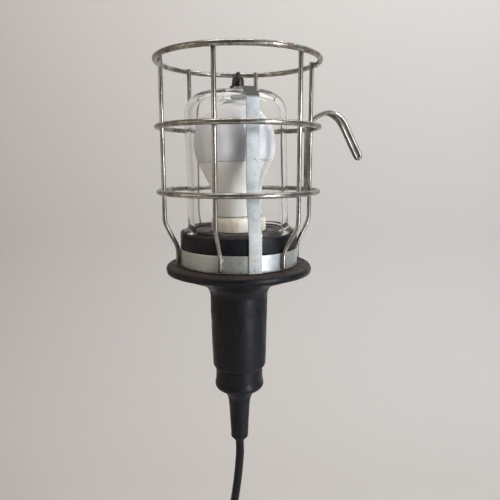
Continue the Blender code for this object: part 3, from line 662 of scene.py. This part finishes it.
# ---- cage ----
def make_rings():
    """Three wire rings, each closed by a butt weld that stands a little proud at its back."""
    for number, node in enumerate(RINGS):
        z = (low(node).z + high(node).z) / 2
        seam = math.radians(150.0 + 47.0 * number)
        shape = bmesh.new()
        points = [around(360.0 * i / 180, RING_R, z) for i in range(180)]
        for i, point in enumerate(points):
            lift = 0.22 * noise.noise(Vector((i / 28.0, number * 5.0, 0.0)))
            points[i] = point + Vector((0.0, 0.0, lift))
        tube(shape, points, RING_WIRE_R, 20, closed=True)
        blob(shape, around(math.degrees(seam), RING_R, z), Matrix.Rotation(seam, 4, "Z"),
             (1.6, 2.05, 2.05), number)
        material = RUSTY_STEEL if number == 0 else STEEL
        piece(shape, node.replace("cage_", "") + "_wire", material, "weathered_steel", node, matrix=ON_AXIS)


def make_cage_wires():
    """The six upright wires, which draw in to the band below the bottom ring."""
    band_r = BAND_R + CAGE_WIRE_R + 0.05
    top = high("cage_wire_1").z
    end = low("cage_wire_1").z
    for number, (azimuth, band_azimuth) in enumerate(CAGE_WIRES, 1):
        corners = [around(azimuth, CAGE_R, top), around(azimuth, CAGE_R, CAGE_BEND_Z),
                   around(band_azimuth, band_r, BAND_TOP_Z + 1.0), around(band_azimuth, band_r, end)]
        path = softened(corners, 4.2, 7)
        shape = tube(bmesh.new(), path, CAGE_WIRE_R, 16)
        piece(shape, f"upright_{number}", STEEL, "weathered_steel", f"cage_wire_{number}", matrix=ON_AXIS)


def make_welds():
    """The lumps where wires cross rings, and where they lie on the band."""
    shape = bmesh.new()
    chance = random.Random(4)
    for azimuth, band_azimuth in CAGE_WIRES:
        turn = Matrix.Rotation(math.radians(azimuth), 4, "Z")
        for node in RINGS:
            z = (low(node).z + high(node).z) / 2
            sizes = (1.8 + chance.random() * 0.3, 1.1, 1.7 + chance.random() * 0.3)
            blob(shape, around(azimuth, RING_R - RING_WIRE_R, z), turn, sizes, chance.random() * 9)
        turn = Matrix.Rotation(math.radians(band_azimuth), 4, "Z")
        for share in (0.3, 0.75):
            z = BAND_TOP_Z + (low("cage_wire_1").z - BAND_TOP_Z) * share
            blob(shape, around(band_azimuth, BAND_R + 0.3, z), turn, (1.7, 0.5, 2.0), chance.random() * 9)
    piece(shape, "wire_welds", RUSTY_STEEL, "weathered_steel", matrix=ON_AXIS)


def make_band():
    """The sheet band round the collar's foot."""
    profile = softened([(BAND_R, BAND_TOP_Z), (BAND_R, BAND_BOTTOM_Z), (BAND_R - 1.0, BAND_BOTTOM_Z),
                        (BAND_R - 1.0, BAND_TOP_Z)], 0.3, 3, closed=True)
    heights = [(BAND_R, BAND_TOP_Z + (BAND_BOTTOM_Z - BAND_TOP_Z) * k / 8) for k in range(1, 8)]
    outer = [tuple(point) for point in profile]
    first = min(range(len(outer)),
                key=lambda i: abs(outer[i][0] - BAND_R) + abs(outer[i][1] - BAND_TOP_Z + 0.3))
    outer = outer[:first + 1] + heights + outer[first + 1:]
    shape = turned(outer, 144, closed=True, uneven=wavering(0.16, 14.0))
    piece(shape, "foot_band", BAND_ZINC, "galvanised_steel", "cage_band", matrix=ON_AXIS)


def make_strap(node, name, azimuth, screw_z, slack=0.0):
    """One half of the strap: up from the band, bent over the jar's shoulder and past the screw."""
    foot = BAND_R + 0.1 + STRAP_T / 2
    bend = STRAP_BEND_R + slack
    path = [(foot, BAND_BOTTOM_Z + 0.2), (foot, BAND_TOP_Z), (foot, -118.0), (39.2 + slack, -95.0),
            (38.7 + slack, -60.0), (bend - 0.1, -32.0), (bend + 0.2, STRAP_BEND_Z), (26.0, screw_z - 0.3),
            (14.0, screw_z), (-STRAP_LAP, screw_z)]
    path = softened([(r, 0.0, z) for r, z in path], 2.2, 5)
    outward = around(azimuth, 1.0, 0.0)
    points = []
    for a, b in zip(path, path[1:]):
        pieces = max(1, round((b - a).length / 2.0))
        points += [a.lerp(b, k / pieces) for k in range(pieces)]
    points.append(path[-1])
    line = []
    for point in points:
        sway = 0.16 * noise.noise(Vector((point.z / 14.0, azimuth, 0.0)))
        line.append(outward * (point.x + sway) + Vector((0.0, 0.0, point.z)))
    shape = strip(line, outward.cross(Vector((0, 0, 1))), STRAP_W, STRAP_T)
    for z in (BAND_TOP_Z - 3.2, BAND_BOTTOM_Z + 2.6):
        blob(shape, outward * (foot + STRAP_T / 2) + Vector((0, 0, z)),
             Matrix.Rotation(math.radians(azimuth), 4, "Z"), (1.1, 0.22, 1.1), z)
    piece(shape, name, STRAP_ZINC, "galvanised_steel", node, matrix=ON_AXIS)


# ---- clamp on top of the jar ----
def make_wing_nut():
    """A cast wing nut: a domed hub with two rounded ears, on the screw's thread."""
    hub = softened([(2.6, 5.9), (3.6, 5.8), (4.3, 4.2), (4.5, 0.0), (2.6, 0.0)], 0.9, 5, closed=True)
    shape = turned(hub, 32, closed=True, uneven=wavering(0.12, 2.5))
    for side in (1, -1):
        spine = [(2.8, 1.9), (5.4, 2.8), (7.4, 4.2), (8.5, 6.2)]
        path = smooth_path([(x * side, 0.0, z) for x, z in spine], 0.8)
        made = bmesh.new()
        tube(made, path, lambda share: 1.6 + 0.8 * smooth_step(share * 1.2), 16, dome=0.95)
        for vert in made.verts:
            vert.co.y *= 0.72
        mesh = bpy.data.meshes.new("ear")
        made.to_mesh(mesh)
        made.free()
        shape.from_mesh(mesh)
        bpy.data.meshes.remove(mesh)
    turn = Matrix.Rotation(math.radians(3.0 - 90.0), 4, "Z")
    place = ON_AXIS @ Matrix.Translation((0, 0, NUT_FOOT_Z)) @ turn
    piece(shape, "wing_nut_cast", DARK, "dark_steel", "wing_nut", body="nut", matrix=place)


def make_washer():
    """The flat ring under the wing nut."""
    bottom, top = low("clamp_washer").z, high("clamp_washer").z
    profile = softened([(6.0, top), (6.0, bottom), (2.9, bottom), (2.9, top)], 0.3, 3, closed=True)
    piece(turned(profile, 48, closed=True), "spring_washer", DARK, "dark_steel", "clamp_washer",
          body="washer", matrix=ON_AXIS)


# ---- hook ----
def hook_strands():
    """The hook's middle line and the direction between its two strands, as in the CAD model."""
    root = around(106.9, CAGE_R - 0.2, -47.0)
    line = [root, (52.2, 15.8, -42.4), (54.3, 15.9, -38.7), (57.2, 16.1, -36.1), (61.4, 16.4, -33.7),
            (67.3, 16.8, -31.9), (72.8, 17.3, -33.5), (77.7, 17.9, -37.6), (81.9, 18.4, -44.6),
            (87.4, 19.2, -55.3), (92.0, 19.8, -64.0)]
    middle = smooth_path(line, 1.2)
    beside = around(105.0, 1.0, 0.0) - around(108.8, 1.0, 0.0)
    beside.normalize()
    strands = []
    walked = 0.0
    for i, point in enumerate(middle):
        ahead = (middle[min(i + 1, len(middle) - 1)] - middle[max(i - 1, 0)]).normalized()
        if i:
            walked += (point - middle[i - 1]).length
        level = (beside - ahead * beside.dot(ahead)).normalized()
        outer = level.cross(ahead)
        twist = math.radians(78.0) * smooth_step((walked - 18.0) / 24.0)
        strands.append((point, ahead, level * math.cos(twist) + outer * math.sin(twist)))
    return strands


def make_hook():
    """A hairpin of wire: two legs inside the rings, and a doubled hook with a closed round tip."""
    half = HOOK_PITCH / 2
    strands = hook_strands()
    near = [point + side * half for point, ahead, side in strands]
    far = [point - side * half for point, ahead, side in strands]
    tip, ahead, side = strands[-1]
    turn = []
    for step in range(1, 16):
        angle = math.pi * step / 16
        turn.append(tip + side * half * math.cos(angle) + ahead * half * math.sin(angle))
    foot = low("hook").z
    near_leg = [Vector((near[0].x, near[0].y, foot + (near[0].z - foot) * k / 12)) for k in range(12)]
    far_leg = [Vector((far[0].x, far[0].y, foot + (far[0].z - foot) * k / 12)) for k in range(12)]
    path = near_leg + near + turn + far[::-1] + far_leg[::-1]
    shape = tube(bmesh.new(), path, HOOK_WIRE_R, 16)
    piece(shape, "side_hook", STEEL, "weathered_steel", "hook", matrix=ON_AXIS)
    welds = bmesh.new()
    for number, node in enumerate(RINGS[1:]):
        z = (low(node).z + high(node).z) / 2
        for azimuth in (105.0, 108.8):
            blob(welds, around(azimuth, RING_R - RING_WIRE_R, z),
                 Matrix.Rotation(math.radians(azimuth), 4, "Z"), (1.9, 1.3, 2.2), azimuth + number)
    piece(welds, "hook_welds", RUSTY_STEEL, "weathered_steel", matrix=ON_AXIS)


# ---- jar and its seat ----
def make_jar():
    """Pressed glass with a round shoulder and a heavy foot. Its inside is less even than its outside.

    The top is thinner than the CAD model's.
    """
    crown = JAR_TOP_R - JAR_SHOULDER
    inner_top = JAR_TOP_Z - JAR_TOP_T
    inner_crown = JAR_TOP_R - JAR_WALL - JAR_INNER_SHOULDER
    inner_bend = inner_top - JAR_INNER_SHOULDER
    wall_top = JAR_TOP_Z - JAR_SHOULDER
    profile = [(0, JAR_TOP_Z - JAR_DIMPLE), (3.4, JAR_TOP_Z - JAR_DIMPLE), (6.8, JAR_TOP_Z - JAR_DIMPLE),
               (7.6, JAR_TOP_Z - 0.5), (8.6, JAR_TOP_Z), (14.0, JAR_TOP_Z)]
    profile += arc(crown, wall_top, JAR_SHOULDER, 90, 0, 20)
    for k in range(1, 15):
        share = k / 15
        profile.append((JAR_TOP_R + (JAR_BASE_R - JAR_TOP_R) * share,
                        wall_top + (JAR_FLARE_Z - wall_top) * share))
    foot = [(JAR_BASE_R, JAR_FLARE_Z), (38.4, -116.2), (JAR_FOOT_R - 0.5, -117.7), (JAR_FOOT_R, -118.6),
            (JAR_FOOT_R, JAR_FOOT_Z), (JAR_BASE_R - JAR_WALL, JAR_FOOT_Z), (JAR_BASE_R - JAR_WALL, -113.0)]
    profile += [tuple(point) for point in softened(foot, 0.9, 4)]
    for k in range(1, 15):
        share = 1 - k / 15
        profile.append((JAR_TOP_R - JAR_WALL + (JAR_BASE_R - JAR_TOP_R) * share,
                        inner_bend + (JAR_FLARE_Z - inner_bend) * share))
    profile += arc(inner_crown, inner_bend, JAR_INNER_SHOULDER, 0, 90, 16)
    profile += [(14, inner_top), (7, inner_top), (0, inner_top)]
    inside = wavering(0.22, 17.0, 40.0)
    outside = wavering(0.10, 26.0)

    def uneven(angle, radius, z):
        inner = radius < JAR_TOP_R - JAR_WALL + 0.8 and z < inner_top + 0.1
        return (inside if inner else outside)(angle, radius, z) * min(1.0, radius / 20.0)
    shape = turned(profile, 144, uneven=uneven)
    piece(shape, "jar_glass", GLASS, "clear_glass", "glass_jar", matrix=ON_JAR, sharp=80.0)


def make_collar():
    """The rubber collar that the jar's foot sits in, its top lip rolled."""
    bottom = low("rubber_collar").z
    profile = arc(COLLAR_R - 1.4, COLLAR_TOP_Z - 1.4, 1.4, 90, 0, 6)
    profile += [tuple(point) for point in softened(
        [(COLLAR_R, -123.0), (COLLAR_R, BAND_TOP_Z + 0.5), (42.9, BAND_TOP_Z + 0.2), (42.9, bottom),
         (33.2, bottom), (33.2, -124.3), (41.9, -124.3), (41.9, COLLAR_TOP_Z - 1.5)], 0.5, 3)]
    profile += [(41.9, COLLAR_TOP_Z - 0.3)]
    shape = turned(profile, 128, closed=True, uneven=wavering(0.25, 9.0))
    piece(shape, "seat_collar", RUBBER, "black_rubber", "rubber_collar", matrix=ON_AXIS)


def make_core():
    """The lampholder's black housing with three sunk screws, and the ivory ring round the bulb's neck."""
    bottom = low("lampholder_housing").z
    profile = [(HOUSING_R, HOUSING_TOP_Z), (HOUSING_R, bottom), (15.8, bottom), (15.8, -122.0),
               (21.0, -121.5), (21.0, HOUSING_TOP_Z), (22.6, HOUSING_TOP_Z), (23.0, HOUSING_TOP_Z - 1.2),
               (30.0, HOUSING_TOP_Z - 1.2), (30.5, HOUSING_TOP_Z)]
    shape = turned(softened(profile, 0.6, 3, closed=True), 96, closed=True, uneven=wavering(0.2, 7.0))
    piece(shape, "holder_drum", BAKELITE, "bakelite", "lampholder_housing", matrix=ON_AXIS)
    for number in (1, 2, 3):
        node = f"housing_screw_{number}"
        centre = (low(node) + high(node)) / 2
        top, foot = high(node).z, low(node).z
        head = softened([(0, top + 1.0), (3.0, top + 0.9), (4.0, top - 0.6), (4.0, top - 2.3),
                         (2.0, top - 2.3), (2.0, foot), (0, foot)], 0.4, 3)
        piece(turned([tuple(point) for point in head], 32), f"drum_screw_{number}", DARK, "dark_steel", node,
              matrix=Matrix.Translation((centre.x, centre.y, 0.0)))
    ring = [(18.6, -108.2), (20.0, -109.5), (20.4, -112.0), (20.4, -121.2), (17.8, -121.2), (17.8, -108.2)]
    piece(turned(softened(ring, 0.7, 4, closed=True), 96, closed=True), "neck_ring", IVORY, "ivory_plastic",
          "lampholder_ring", matrix=ON_AXIS)


# ---- bulb ----
def make_bulb():
    """The bulb that shows: milky dome, white cone and ivory base."""
    shell = BULB_R - 1.4
    edge = math.degrees(math.asin((SEAM_Z - BULB_CENTRE_Z) / BULB_R))
    inner_edge = math.degrees(math.asin((SEAM_Z - BULB_CENTRE_Z) / shell))
    dome = arc(0, BULB_CENTRE_Z, BULB_R, 90, edge, 32) + arc(0, BULB_CENTRE_Z, shell, inner_edge, 90, 20)
    dome[0] = (0.0, BULB_CENTRE_Z + BULB_R)
    dome[-1] = (0.0, BULB_CENTRE_Z + shell)
    piece(turned(dome, 96), "bulb_dome", DOME, "bulb_diffuser", "bulb_diffuser", matrix=ON_BULB)
    cone = [(27.8, SEAM_Z - 0.25), (27.2, -69.2), (23.5, -76.4), (19.7, -84.6), (18.5, -89.5), (18.1, -94.0),
            (18.15, -107.3), (16.8, -107.3), (16.8, -90.0), (21.4, -78.0), (25.4, -70.6),
            (25.8, SEAM_Z - 0.25)]
    shape = turned(softened(cone, 2.0, 5, closed=True), 96, closed=True)
    piece(shape, "bulb_cone", WHITE, "white_plastic", "bulb_housing", matrix=ON_BULB)
    base = [(16.6, -107.7), (16.6, -112.0), (16.0, -115.4), (11.2, -115.6), (11.2, -137.0), (10.2, -137.0),
            (10.2, -113.0), (15.4, -111.0), (15.4, -107.7)]
    shape = turned(softened(base, 0.5, 3, closed=True), 72, closed=True)
    piece(shape, "bulb_neck", IVORY, "ivory_plastic", "bulb_base", matrix=ON_BULB)


# ---- handle, gland and boot ----
def make_handle():
    """The moulded handle and its flange, with the mould's parting line round the rim."""
    rim_r = 3.1
    rim = FLANGE_R - rim_r
    middle = FLANGE_TOP_Z - rim_r
    profile = [(36.0, FLANGE_TOP_Z - 0.35), (44.0, FLANGE_TOP_Z), (rim - 2.5, FLANGE_TOP_Z + 0.0)]
    profile += arc(rim, middle, rim_r, 90, -32, 12)
    profile += [(rim + rim_r * 0.80, middle - 2.05), (rim + rim_r * 0.86, middle - 2.35),
                (rim + rim_r * 0.62, middle - 2.45)]
    profile += arc(rim, middle, rim_r, -60, -90, 4)
    profile += [(46.0, -152.2), (38.0, -155.3)]
    profile += arc(HANDLE_TOP_R + FILLET_R, FILLET_Z, FILLET_R, 111, 180, 14)
    profile += [(21.8, -180.0), (21.5, -192.0), (21.1, -210.0)]
    profile += arc(20.6 - 2.4, HANDLE_END_Z + 2.4, 2.4, 0, -90, 8)
    profile += [(12.6, HANDLE_END_Z), (12.6, -219.0), (HANDLE_BORE_R, -216.0),
                (HANDLE_BORE_R, -152.5), (18.0, -152.5),
                (18.0, FLANGE_TOP_Z - 0.35)]
    shape = turned(profile, 128, closed=True, uneven=wavering(0.28, 13.0))
    piece(shape, "handle_moulding", RUBBER, "black_rubber", "handle", matrix=ON_AXIS)


def make_gland():
    """The screwed cap under the handle: plain neck, fine groove, bead and round bottom."""
    top = HANDLE_END_Z - 0.3
    profile = [(18.2, top), (18.3, top - 1.0), (18.25, -233.0), (18.4, -236.6)]
    side = smooth_path([(r, 0.0, z) for r, z in (
        (18.4, -237.2), (18.8, -238.9), (19.1, -240.6), (18.8, -242.4), (17.5, -243.9), (15.4, -245.3),
        (12.9, -246.3), (10.9, -246.8))], 0.7)
    profile += [(point.x, point.z) for point in side]
    bottom = low("gland_cap").z
    profile += [(6.9, bottom), (6.9, CAP_FLOOR_Z), (13.0, CAP_FLOOR_Z), (13.0, -231.4), (10.0, -231.0),
                (10.0, -219.5),
                (12.2, -219.5), (12.2, top)]
    shape = turned(profile, 96, closed=True, uneven=wavering(0.15, 8.0, 90.0))
    piece(shape, "gland_moulding", RUBBER, "black_rubber", "gland_cap", matrix=ON_AXIS)


def make_boot():
    """The tapered bend relief that grips the cord."""
    top = high("strain_relief").z
    profile = [(8.4, top), (8.4, -243.4), (6.5, -243.4), (6.5, -247.2), (12.3, -247.2), (11.1, -248.9),
               (9.7, -251.5), (8.8, -254.8), (8.25, -259.0), (7.8, -266.0), (7.2, -277.0), (6.85, -285.0),
               (6.95, -286.2), (6.6, -287.4), (5.4, -288.6), (4.8, BOOT_END_Z), (3.5, BOOT_END_Z), (3.5, top)]
    shape = turned(softened(profile, 0.9, 4, closed=True), 64, closed=True, uneven=wavering(0.22, 6.0, 20.0))
    piece(shape, "bend_relief", RUBBER, "black_rubber", "strain_relief", matrix=ON_AXIS)


# ---- tie and plug ----
def make_tie():
    """A woven tape round all the coil's turns, one end lapped over the other."""
    inner = COIL_INNER_R - CORD_R - 0.9
    outer = COIL_INNER_R + (COIL_LAYERS - 1) * COIL_PITCH + CORD_R + 0.9
    side = (COIL_ROWS - 1) * COIL_PITCH / 2 + CORD_R + 0.9
    corners = [(inner, -side, 0), (outer, -side, 0), (outer, side, 0), (inner, side, 0)]
    path = softened(corners, 5.0, 7, closed=True)
    shape = strip(path, (0, 0, 1), 12.0, 1.1, closed=True)
    lap = strip([(outer + 1.2, y, 0) for y in (-14.0, -8.0, 0.0, 8.0)], (0, 0, 1), 11.4, 0.9)
    mesh = bpy.data.meshes.new("lap")
    lap.to_mesh(mesh)
    lap.free()
    shape.from_mesh(mesh)
    bpy.data.meshes.remove(mesh)
    angle = math.radians(TIE_ANGLE)
    outward = Vector((math.sin(angle), 0, math.cos(angle)))
    back_way = Vector((0, 1, 0))
    turn = Matrix((outward, back_way, outward.cross(back_way))).transposed().to_4x4()
    return piece(shape, "tape_tie", TAPE, "tie_fabric", "coil_tie",
                 matrix=Matrix.Translation(COIL_CENTRE) @ turn)


def make_plug():
    """A round moulded two-pin plug: ribbed grip, waisted neck, flat face."""
    centre = (low("plug_body") + high("plug_body")) / 2
    tall = PLUG_TOP_Z
    profile = [(3.45, tall), (4.4, tall), (5.2, tall - 1.5), (5.9, tall - 10.0), (6.6, tall - 18.0),
               (8.5, tall - 22.0), (13.5, tall - 27.0), (15.0, tall - 33.0), (16.6, tall - 44.0),
               (18.0, tall - 46.0), (18.0, PLUG_END_Z + 1.0), (17.2, PLUG_END_Z), (0.0, PLUG_END_Z)]
    body = [tuple(point) for point in softened(profile, 1.4, 4)]
    body = [(0.0, tall - 1.0), (3.45, tall - 1.0)] + body

    def ribs(angle, radius, z):
        held = smooth_step((tall - 25.0 - z) / 4.0) * smooth_step((z - (tall - 44.0)) / 3.0)
        return -0.7 * held * (0.5 + 0.5 * math.cos(18 * angle))
    place = Matrix.Translation((centre.x, centre.y, 0.0))
    shell = piece(turned(body, 144, uneven=ribs), "plug_moulding", CORD_RUBBER, "cord_sheath", "plug_body",
                  matrix=place)
    pieces = [shell]
    for number in (1, 2):
        node = f"plug_pin_{number}"
        middle = (low(node) + high(node)) / 2
        ends = [(middle.x, middle.y, PLUG_END_Z + 3.0), (middle.x, middle.y, low(node).z + 1.6)]
        shape = tube(bmesh.new(), ends, 2.4, 24, dome=0.7)
        pieces.append(piece(shape, f"pin_{number}", NICKEL, "brass", node))
    return pieces


# ---- studio ----
def make_stage():
    """A pale curved backdrop behind the lamp that runs into the floor."""
    shape = bmesh.new()
    floor_z, back_y, bend = -0.72, 0.95, 0.45
    line = [(-1.6, floor_z), (back_y - bend, floor_z)]
    for i in range(1, 17):
        angle = math.radians(90.0 * i / 16)
        line.append((back_y - bend + bend * math.sin(angle), floor_z + bend - bend * math.cos(angle)))
    line.append((back_y, 1.9))
    rows = [[shape.verts.new((x, y, z)) for x in (-2.4, 2.4)] for y, z in line]
    for a, b in zip(rows, rows[1:]):
        shape.faces.new((a[0], a[1], b[1], b[0]))
    mesh = bpy.data.meshes.new("backdrop")
    shape.to_mesh(mesh)
    shape.free()
    mesh.shade_smooth()
    paint = Paint("backdrop_paint")
    # Painted shade: the backdrop is painted darker and warmer towards the left and paler towards the right,
    # as if lit from the right.
    drift_and_side_shade = paint.levels(paint.axis("X"), -0.9, 0.9)
    paint.set(Base_Color=paint.mix(drift_and_side_shade, (0.66, 0.625, 0.585), (0.72, 0.70, 0.68)), Roughness=0.9)
    mesh.materials.append(paint.material)
    backdrop = bpy.data.objects.new("backdrop", mesh)
    SCENE.collection.objects.link(backdrop)


def area_light(name, place, target, size, power, colour):
    """A rectangular lamp at a place, in metres, that faces a target."""
    data = bpy.data.lights.new(name, "AREA")
    data.shape = "RECTANGLE"
    data.size, data.size_y = size
    data.energy = power
    data.color = colour
    light = bpy.data.objects.new(name, data)
    light.location = place
    light.rotation_euler = (Vector(target) - Vector(place)).to_track_quat("-Z", "Y").to_euler()
    SCENE.collection.objects.link(light)
    return light


def make_world():
    """A pale room: what mirrors in the metal is darker than the backdrop, darkest behind the camera."""
    world = bpy.data.worlds.new("room")
    SCENE.world = world
    world.use_nodes = True
    tree = world.node_tree

    def node(kind, values=None, links=None, **settings):
        made = tree.nodes.new(kind)
        for key, value in settings.items():
            setattr(made, key, value)
        for key, value in (values or {}).items():
            made.inputs[key].default_value = value
        for key, source in (links or {}).items():
            tree.links.new(source, made.inputs[key])
        return made

    where = node("ShaderNodeTexCoord").outputs["Generated"]
    parts = node("ShaderNodeSeparateXYZ", links={0: where}).outputs
    side = node("ShaderNodeMapRange", {"From Min": -0.8, "From Max": 0.8}, {"Value": parts["X"]})
    room = node("ShaderNodeMix", {6: (0.31, 0.275, 0.235, 1.0), 7: (0.235, 0.25, 0.285, 1.0)},
                {0: side.outputs["Result"]}, data_type="RGBA")
    depth = node("ShaderNodeMapRange", {"From Min": -1.0, "From Max": 0.1, "To Min": 0.4},
                 {"Value": parts["Y"]})
    dimmed = node("ShaderNodeVectorMath", None,
                  {0: room.outputs[2], "Scale": depth.outputs["Result"]}, operation="SCALE")
    rays = node("ShaderNodeLightPath").outputs
    direct = node("ShaderNodeMath", {1: 0.5}, {0: rays["Diffuse Depth"]}, operation="LESS_THAN")
    through = node("ShaderNodeMath", None, {0: rays["Is Camera Ray"], 1: rays["Transmission Depth"]},
                   operation="MAXIMUM")
    seen = node("ShaderNodeMath", None, {0: direct.outputs[0], 1: through.outputs[0]},
                operation="MULTIPLY", use_clamp=True)
    shown = node("ShaderNodeMix", {7: (0.60, 0.56, 0.52, 1.0)},
                 {0: seen.outputs[0], 6: dimmed.outputs["Vector"]}, data_type="RGBA")
    tree.links.new(shown.outputs[2], tree.nodes["Background"].inputs["Color"])


def make_light():
    """Two cool windows on the right of the camera, a faint warm fill, and light on the backdrop."""
    middle = (0.0, AXIS.y * MM, -0.12)
    area_light("window", (1.16, -1.10, 0.23), middle, (0.28, 0.40), 12.5, (0.93, 0.96, 1.0))
    area_light("low_window", (1.10, -1.16, -0.46), (0.0, AXIS.y * MM, -0.2), (0.6, 0.4), 6.0,
               (0.80, 0.89, 1.0))
    area_light("fill", (-1.3, -0.7, 0.2), middle, (0.9, 0.9), 3.0, (1.0, 0.90, 0.78))
    wash = area_light("wash", (0.3, 0.1, 1.3), (0.0, 0.95, -0.1), (2.0, 0.6), 17.0, (1.0, 0.985, 0.97))
    wash.visible_camera = False
    make_world()
    SCENE.view_settings.view_transform = "Standard"


# ---- assembly ----
make_camera()
cord = make_cord()
cord.data.materials.append(CORD_RUBBER)
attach(cord, "root")
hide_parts("cord_lead", "cord_coil", "cord_tail")
tie = make_tie()
plug = make_plug()
make_rings()
make_cage_wires()
make_welds()
make_band()
make_strap("strap_front", "front_strap", STRAP_AZIMUTH, high("strap_front").z - STRAP_T / 2)
make_strap("strap_rear", "rear_strap", STRAP_AZIMUTH + 180.0, high("strap_rear").z - STRAP_T / 2, 0.5)
make_washer()
make_wing_nut()
make_hook()
make_jar()
make_collar()
make_core()
make_bulb()
make_handle()
make_gland()
make_boot()
for node, material in NODE_MATERIALS.items():
    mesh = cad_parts[node].data
    mesh.materials.clear()
    mesh.materials.append(material)
make_stage()
make_light()
